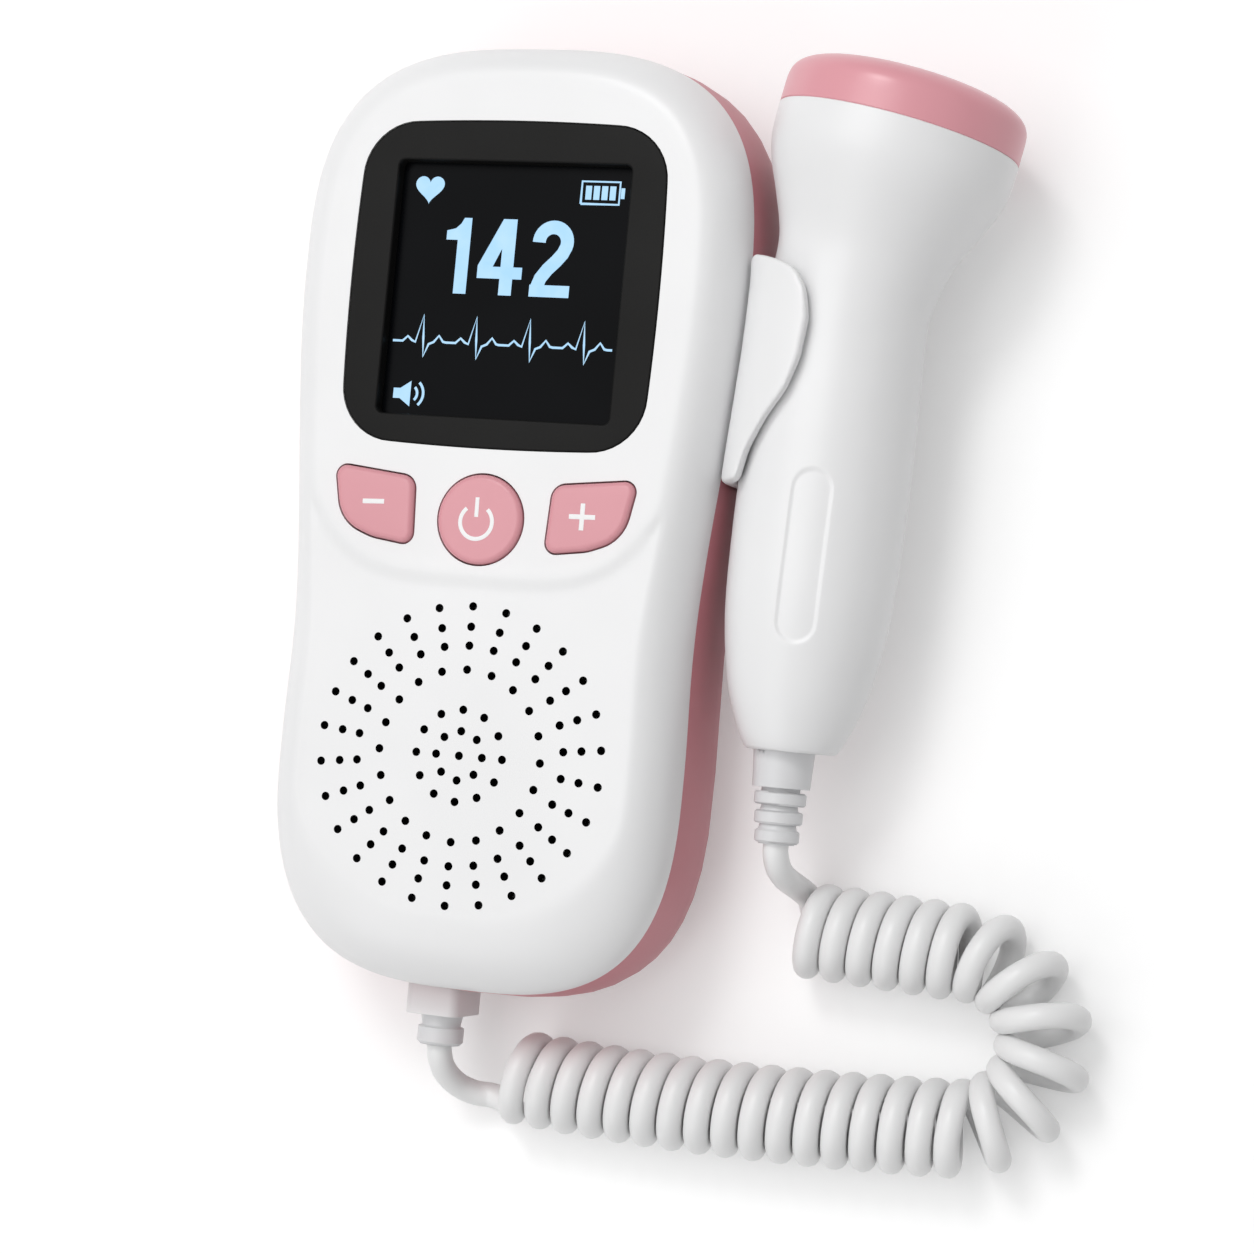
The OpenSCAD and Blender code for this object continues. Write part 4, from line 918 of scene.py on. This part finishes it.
# The rounded edge: how far in it goes, and how far up, which leaves a slight dome
EDGE_IN, EDGE_UP = 0.9, 0.85
SIDE_MIDDLE = Vector((17.2, 0.2))
SIDE_REACH = 6.2
STEM_R, STEM_LOW = 2, 27.1
SIGN_Z = BUTTON_TOP + 0.015
SIGN_LINE, POWER_LINE = 0.72, 0.62


def rounded_edge(a):
    """How far in and how high the button's edge is at an angle of its rounding."""
    a = math.radians(a)
    return EDGE_IN * (1 - math.cos(a)), BUTTON_TOP - EDGE_IN + EDGE_UP * math.sin(a)


def make_side_button(name, node, body, mirror):
    """A soft-edged key with a flange; the top's last rings shrink towards its middle."""
    bm = bmesh.new()
    rings = []
    levels = [(FLANGE, FLANGE_LOW), (FLANGE, FLANGE_HIGH), (0, FLANGE_HIGH),
              (0, BUTTON_TOP - EDGE_IN)]
    for a in range(15, 91, 15):
        inset, z = rounded_edge(a)
        levels.append((-inset, z))
    for grow, z in levels:
        rings.append([(x * MM, y * MM, z * MM) for x, y in side_button_plan(grow, mirror)])
    for inset, z in [(2.2, BUTTON_TOP - 0.02), (3.6, BUTTON_TOP)]:
        share = 1 - inset / SIDE_REACH
        plan = [SIDE_MIDDLE + (Vector(p) - SIDE_MIDDLE) * share for p in side_button_plan(0)]
        side = -1 if mirror else 1
        rings.append([(side * x * MM, y * MM, z * MM) for x, y in plan])
    stack(bm, rings)
    piece = finished(name, bm, body, BUTTON_PINK, [node], 45)
    weighted(piece)


make_side_button("plus_key", "plus_button", "plus_button", False)
make_side_button("minus_key", "minus_button", "minus_button", True)


def make_power_button():
    bm = bmesh.new()
    profile = [(0, STEM_LOW), (STEM_R, STEM_LOW), (STEM_R, FLANGE_LOW),
               (POWER_R + FLANGE, FLANGE_LOW), (POWER_R + FLANGE, FLANGE_HIGH),
               (POWER_R, FLANGE_HIGH)]
    for a in range(0, 91, 15):
        inset, z = rounded_edge(a)
        profile.append((POWER_R - inset, z))
    profile += [(4.0, BUTTON_TOP - 0.01), (0, BUTTON_TOP)]
    spun(bm, profile)
    bmesh.ops.translate(bm, verts=bm.verts, vec=(0, POWER_Y * MM, 0))
    piece = finished("power_key", bm, "power_button", BUTTON_PINK,
                     ["power_button"], 45)
    weighted(piece)


make_power_button()


def print_signs():
    """The signs printed on the three buttons."""
    ring = [(-0.35 + 2.55 * math.cos(math.radians(a)), -1.75 + 2.55 * math.sin(math.radians(a)))
            for a in range(130, 411, 8)]
    signs = {
        "minus": [flat_line([(-19.0, 0.28), (-15.5, 0.42)], SIGN_LINE, SIGN_Z)],
        "plus": [flat_line([(14.25, 0.0), (18.35, 0.08)], SIGN_LINE, SIGN_Z),
                 flat_line([(16.28, 2.05), (16.32, -1.95)], SIGN_LINE, SIGN_Z + OVER)],
        "power": [flat_line(ring, POWER_LINE, SIGN_Z),
                  flat_line([(-0.45, 1.95), (-0.4, -1.0)], POWER_LINE, SIGN_Z + OVER)],
    }
    for key, lines in signs.items():
        joined(key + "_mark", lines, key + "_button", PRINT)


print_signs()


# ---- Probe -----------------------------------------------------------------------------------

PROBE_X, PROBE_Z = 48.35, 19.2
PROBE_LEAN = 2.4
# The head leans out by HEAD_LEAN degrees, eased in over HEAD_BEND on both sides of HEAD_FROM
HEAD_FROM = 34.5
HEAD_LEAN = 9.2
HEAD_BEND = 7.5
HANDLE_END_Y = -31.6
RIM_ROUND = 0.5
HEAD_R, HEAD_END, CAP_FROM, ROUND_FROM = 18.4, 70.4, 61.8, 64.4
HEAD_POWER = 3.5
SEAM_DEEP = 0.12
# Place along the axis and radius
HANDLE_KNOTS = [(-33.5, 3), (-33, 5), (-31.5, 6.8), (-28, 8.6), (-22, 10.6), (-12, 12.2),
                (0, 12.7), (11, 12.7), (20, 12.5), (27, 12.3), (32, 12.3), (37, 12.3), (43, 13.0),
                (48.5, 15.1), (53, 17.1), (56.5, 18.15), (60, HEAD_R), (ROUND_FROM, HEAD_R)]
HANDLE_LINE = through([(u, r, 0) for u, r in HANDLE_KNOTS], 24)
PILL_TURN, PILL_MID, PILL_LEN, PILL_WIDE, PILL_DEEP, PILL_EDGE = 7.5, -3.1, 25.2, 5.9, 0.32, 0.6


def probe_radius(u):
    if u > ROUND_FROM:
        share = min(1, (u - ROUND_FROM) / (HEAD_END - ROUND_FROM))
        return HEAD_R * (1 - share ** HEAD_POWER) ** (1 / HEAD_POWER)
    for a, b in zip(HANDLE_LINE, HANDLE_LINE[1:]):
        if u <= b.x:
            return a.y + (b.y - a.y) * (u - a.x) / (b.x - a.x)
    return HEAD_R


def in_probe(x, y, u):
    """From the probe's own axis, along which u runs, to metres in the scene."""
    lean = math.radians(HEAD_LEAN) * smooth((u - HEAD_FROM + HEAD_BEND) / (2 * HEAD_BEND))
    x, u = (x * math.cos(lean) + (u - HEAD_FROM) * math.sin(lean),
            HEAD_FROM - x * math.sin(lean) + (u - HEAD_FROM) * math.cos(lean))
    turn = math.radians(-PROBE_LEAN)
    return ((PROBE_X + x * math.cos(turn) - u * math.sin(turn)) * MM,
            (x * math.sin(turn) + u * math.cos(turn)) * MM, (PROBE_Z - y) * MM)


def pill_depth(across, u):
    """Depth of the bare recess on the handle, with a soft edge."""
    past_end = max(0, abs(u - PILL_MID) - (PILL_LEN - PILL_WIDE) / 2)
    return PILL_DEEP * smooth(0.5 - (math.hypot(across, past_end) - PILL_WIDE / 2) / PILL_EDGE)


def ring_angles():
    """Close together over the recess, wider round the rest of the handle."""
    near = [-18 + 0.9 * k for k in range(41)]
    return [PILL_TURN + a for a in near + [18 + 324 * k / 90 for k in range(1, 90)]]


def probe_ring(u, radius=None, recess=True):
    """A ring across the probe, with the pill's recess where one is asked for."""
    ring = []
    for angle in ring_angles():
        r = probe_radius(u) if radius is None else radius
        across = math.radians((angle - PILL_TURN + 180) % 360 - 180) * r
        r -= pill_depth(across, u) if recess else 0
        ring.append(in_probe(r * math.sin(math.radians(angle)), -r * math.cos(math.radians(angle)),
                             u))
    return ring


def make_probe_body():
    """Handle and flared head, cut off square at the cord's end, with that rim rounded."""
    places = [-33.5 + 0.5 * k for k in range(33)] + [-17 + 0.3 * k for k in range(1, 94)]
    places += [11 + 0.8 * k for k in range(1, 63)]
    rings = [probe_ring(u) for u in places if u < CAP_FROM - 0.2]
    rings += [probe_ring(CAP_FROM - SEAM_DEEP), probe_ring(CAP_FROM, HEAD_R - SEAM_DEEP)]
    bm = bmesh.new()
    stack(bm, rings)
    in_order(bm)
    whole = list(bm.verts) + list(bm.edges) + list(bm.faces)
    done = bmesh.ops.bisect_plane(bm, geom=whole, plane_co=(0, HANDLE_END_Y * MM, 0),
                                  plane_no=(0, -1, 0), clear_outer=True)
    rim = [e for e in done["geom_cut"] if isinstance(e, bmesh.types.BMEdge)]
    bmesh.ops.contextual_create(bm, geom=rim)
    bmesh.ops.bevel(bm, geom=rim, offset=RIM_ROUND * MM, segments=4, profile=0.5, affect="EDGES",
                    material=-1)
    finished("probe_moulding", bm, "probe", PROBE_WHITE, ["probe_body"], 40)


def make_probe_cap():
    """The pink end of the head, with a fine groove where it meets the white moulding."""
    places = [CAP_FROM + 0.14 + 0.5 * k for k in range(6)]
    places += [ROUND_FROM + (HEAD_END - ROUND_FROM) * math.sin(math.radians(a)) ** (2 / HEAD_POWER)
               for a in [*range(4, 20, 4), *range(20, 90, 5)]]
    rings = [probe_ring(CAP_FROM + 0.01, HEAD_R - SEAM_DEEP, False)]
    rings += [probe_ring(u, recess=False) for u in places]
    rings += [probe_ring(HEAD_END - 0.0005, 1.5, False), probe_ring(HEAD_END, 0.2, False)]
    bm = bmesh.new()
    stack(bm, rings)
    finished("probe_cap_moulding", bm, "probe", CAP_PINK, ["probe_cap"], 40)


make_probe_body()
make_probe_cap()


# ---- CAD nodes that are shown as they are ----------------------------------------------------

SHOWN = {
    "display_glass": GLASS, "lcd_module": LCD_FRAME, "lcd_holder": WHITE, "main_board": BOARD,
    "board_screws": STEEL, "tact_switches": STEEL, "speaker_gasket": FOAM,
    "speaker_frame": STEEL, "speaker_cone": PAPER, "speaker_magnet": FERRITE,
    "battery_cells": SLEEVE, "battery_contacts": STEEL, "earphone_jack": BLACK,
    "probe_socket": BLACK, "case_screws": STEEL, "clip_screws": STEEL,
    "transducer_discs": CERAMIC, "transducer_backing": FOAM, "probe_board": BOARD,
    "plug_pins": GOLD,
}
for node_name, node_material in SHOWN.items():
    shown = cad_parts[node_name].data
    shown.materials.clear()
    shown.materials.append(node_material)


# ---- Floor and light -------------------------------------------------------------------------

FLOOR_PALE = 0.82
FLOOR_LIFT = 0.25
SKY_LIGHT = 0.46
AIM = Vector((0.02, -0.01, 0.015))
# Each lamp's place and size in metres, and its power in watts
LAMPS = [("key", (-0.28, 0.20, 1.10), 0.9, 4.6),
         ("top", (-0.12, 0.58, 0.95), 0.28, 2.5),
         ("fill", (-0.35, -0.65, 0.70), 0.6, 1.3)]


def make_floor():
    """A pale floor just below the monitor, lifted a little in the background it gives."""
    bm = bmesh.new()
    bmesh.ops.create_grid(bm, x_segments=2, y_segments=2, size=2.0)
    mesh = as_mesh("studio_floor", bm)
    floor = placed("studio_floor", mesh)
    floor.location.z = -0.00005
    material = bpy.data.materials.new("studio_floor")
    material.use_nodes = True
    tree = material.node_tree
    shader = tree.nodes["Principled BSDF"]
    shader.inputs["Base Color"].default_value = (FLOOR_PALE, FLOOR_PALE, FLOOR_PALE, 1)
    shader.inputs["Roughness"].default_value = 0.9
    shader.inputs["Specular IOR Level"].default_value = 0.1
    rays = tree.nodes.new("ShaderNodeLightPath").outputs
    seen = maths(tree, "MAXIMUM", rays["Is Camera Ray"], rays["Is Glossy Ray"])
    seen = maths(tree, "MAXIMUM", seen, rays["Is Transmission Ray"])
    lift = maths(tree, "MULTIPLY", seen, FLOOR_LIFT)
    shader.inputs["Emission Color"].default_value = (1, 1, 1, 1)
    tree.links.new(lift, shader.inputs["Emission Strength"])
    mesh.materials.append(material)


def light_studio():
    """Even soft light, with a background that is white to the camera, and three soft lamps."""
    world = bpy.data.worlds.new("studio")
    bpy.context.scene.world = world
    world.use_nodes = True
    nodes, links = world.node_tree.nodes, world.node_tree.links
    sky = nodes["Background"]
    sky.inputs["Color"].default_value = (1, 1, 1, 1)
    rays = nodes.new("ShaderNodeLightPath")
    level = nodes.new("ShaderNodeMapRange")
    level.inputs["To Min"].default_value = SKY_LIGHT
    level.inputs["To Max"].default_value = 1.0
    links.new(rays.outputs["Is Camera Ray"], level.inputs["Value"])
    links.new(level.outputs["Result"], sky.inputs["Strength"])
    for name, place, size, power in LAMPS:
        data = bpy.data.lights.new(name, "AREA")
        data.size = size
        data.energy = power
        lamp = placed(name, data)
        lamp.location = place
        lamp.rotation_euler = (AIM - Vector(place)).to_track_quat("-Z", "Y").to_euler()


make_floor()
light_studio()
bpy.context.scene.view_settings.view_transform = "Standard"
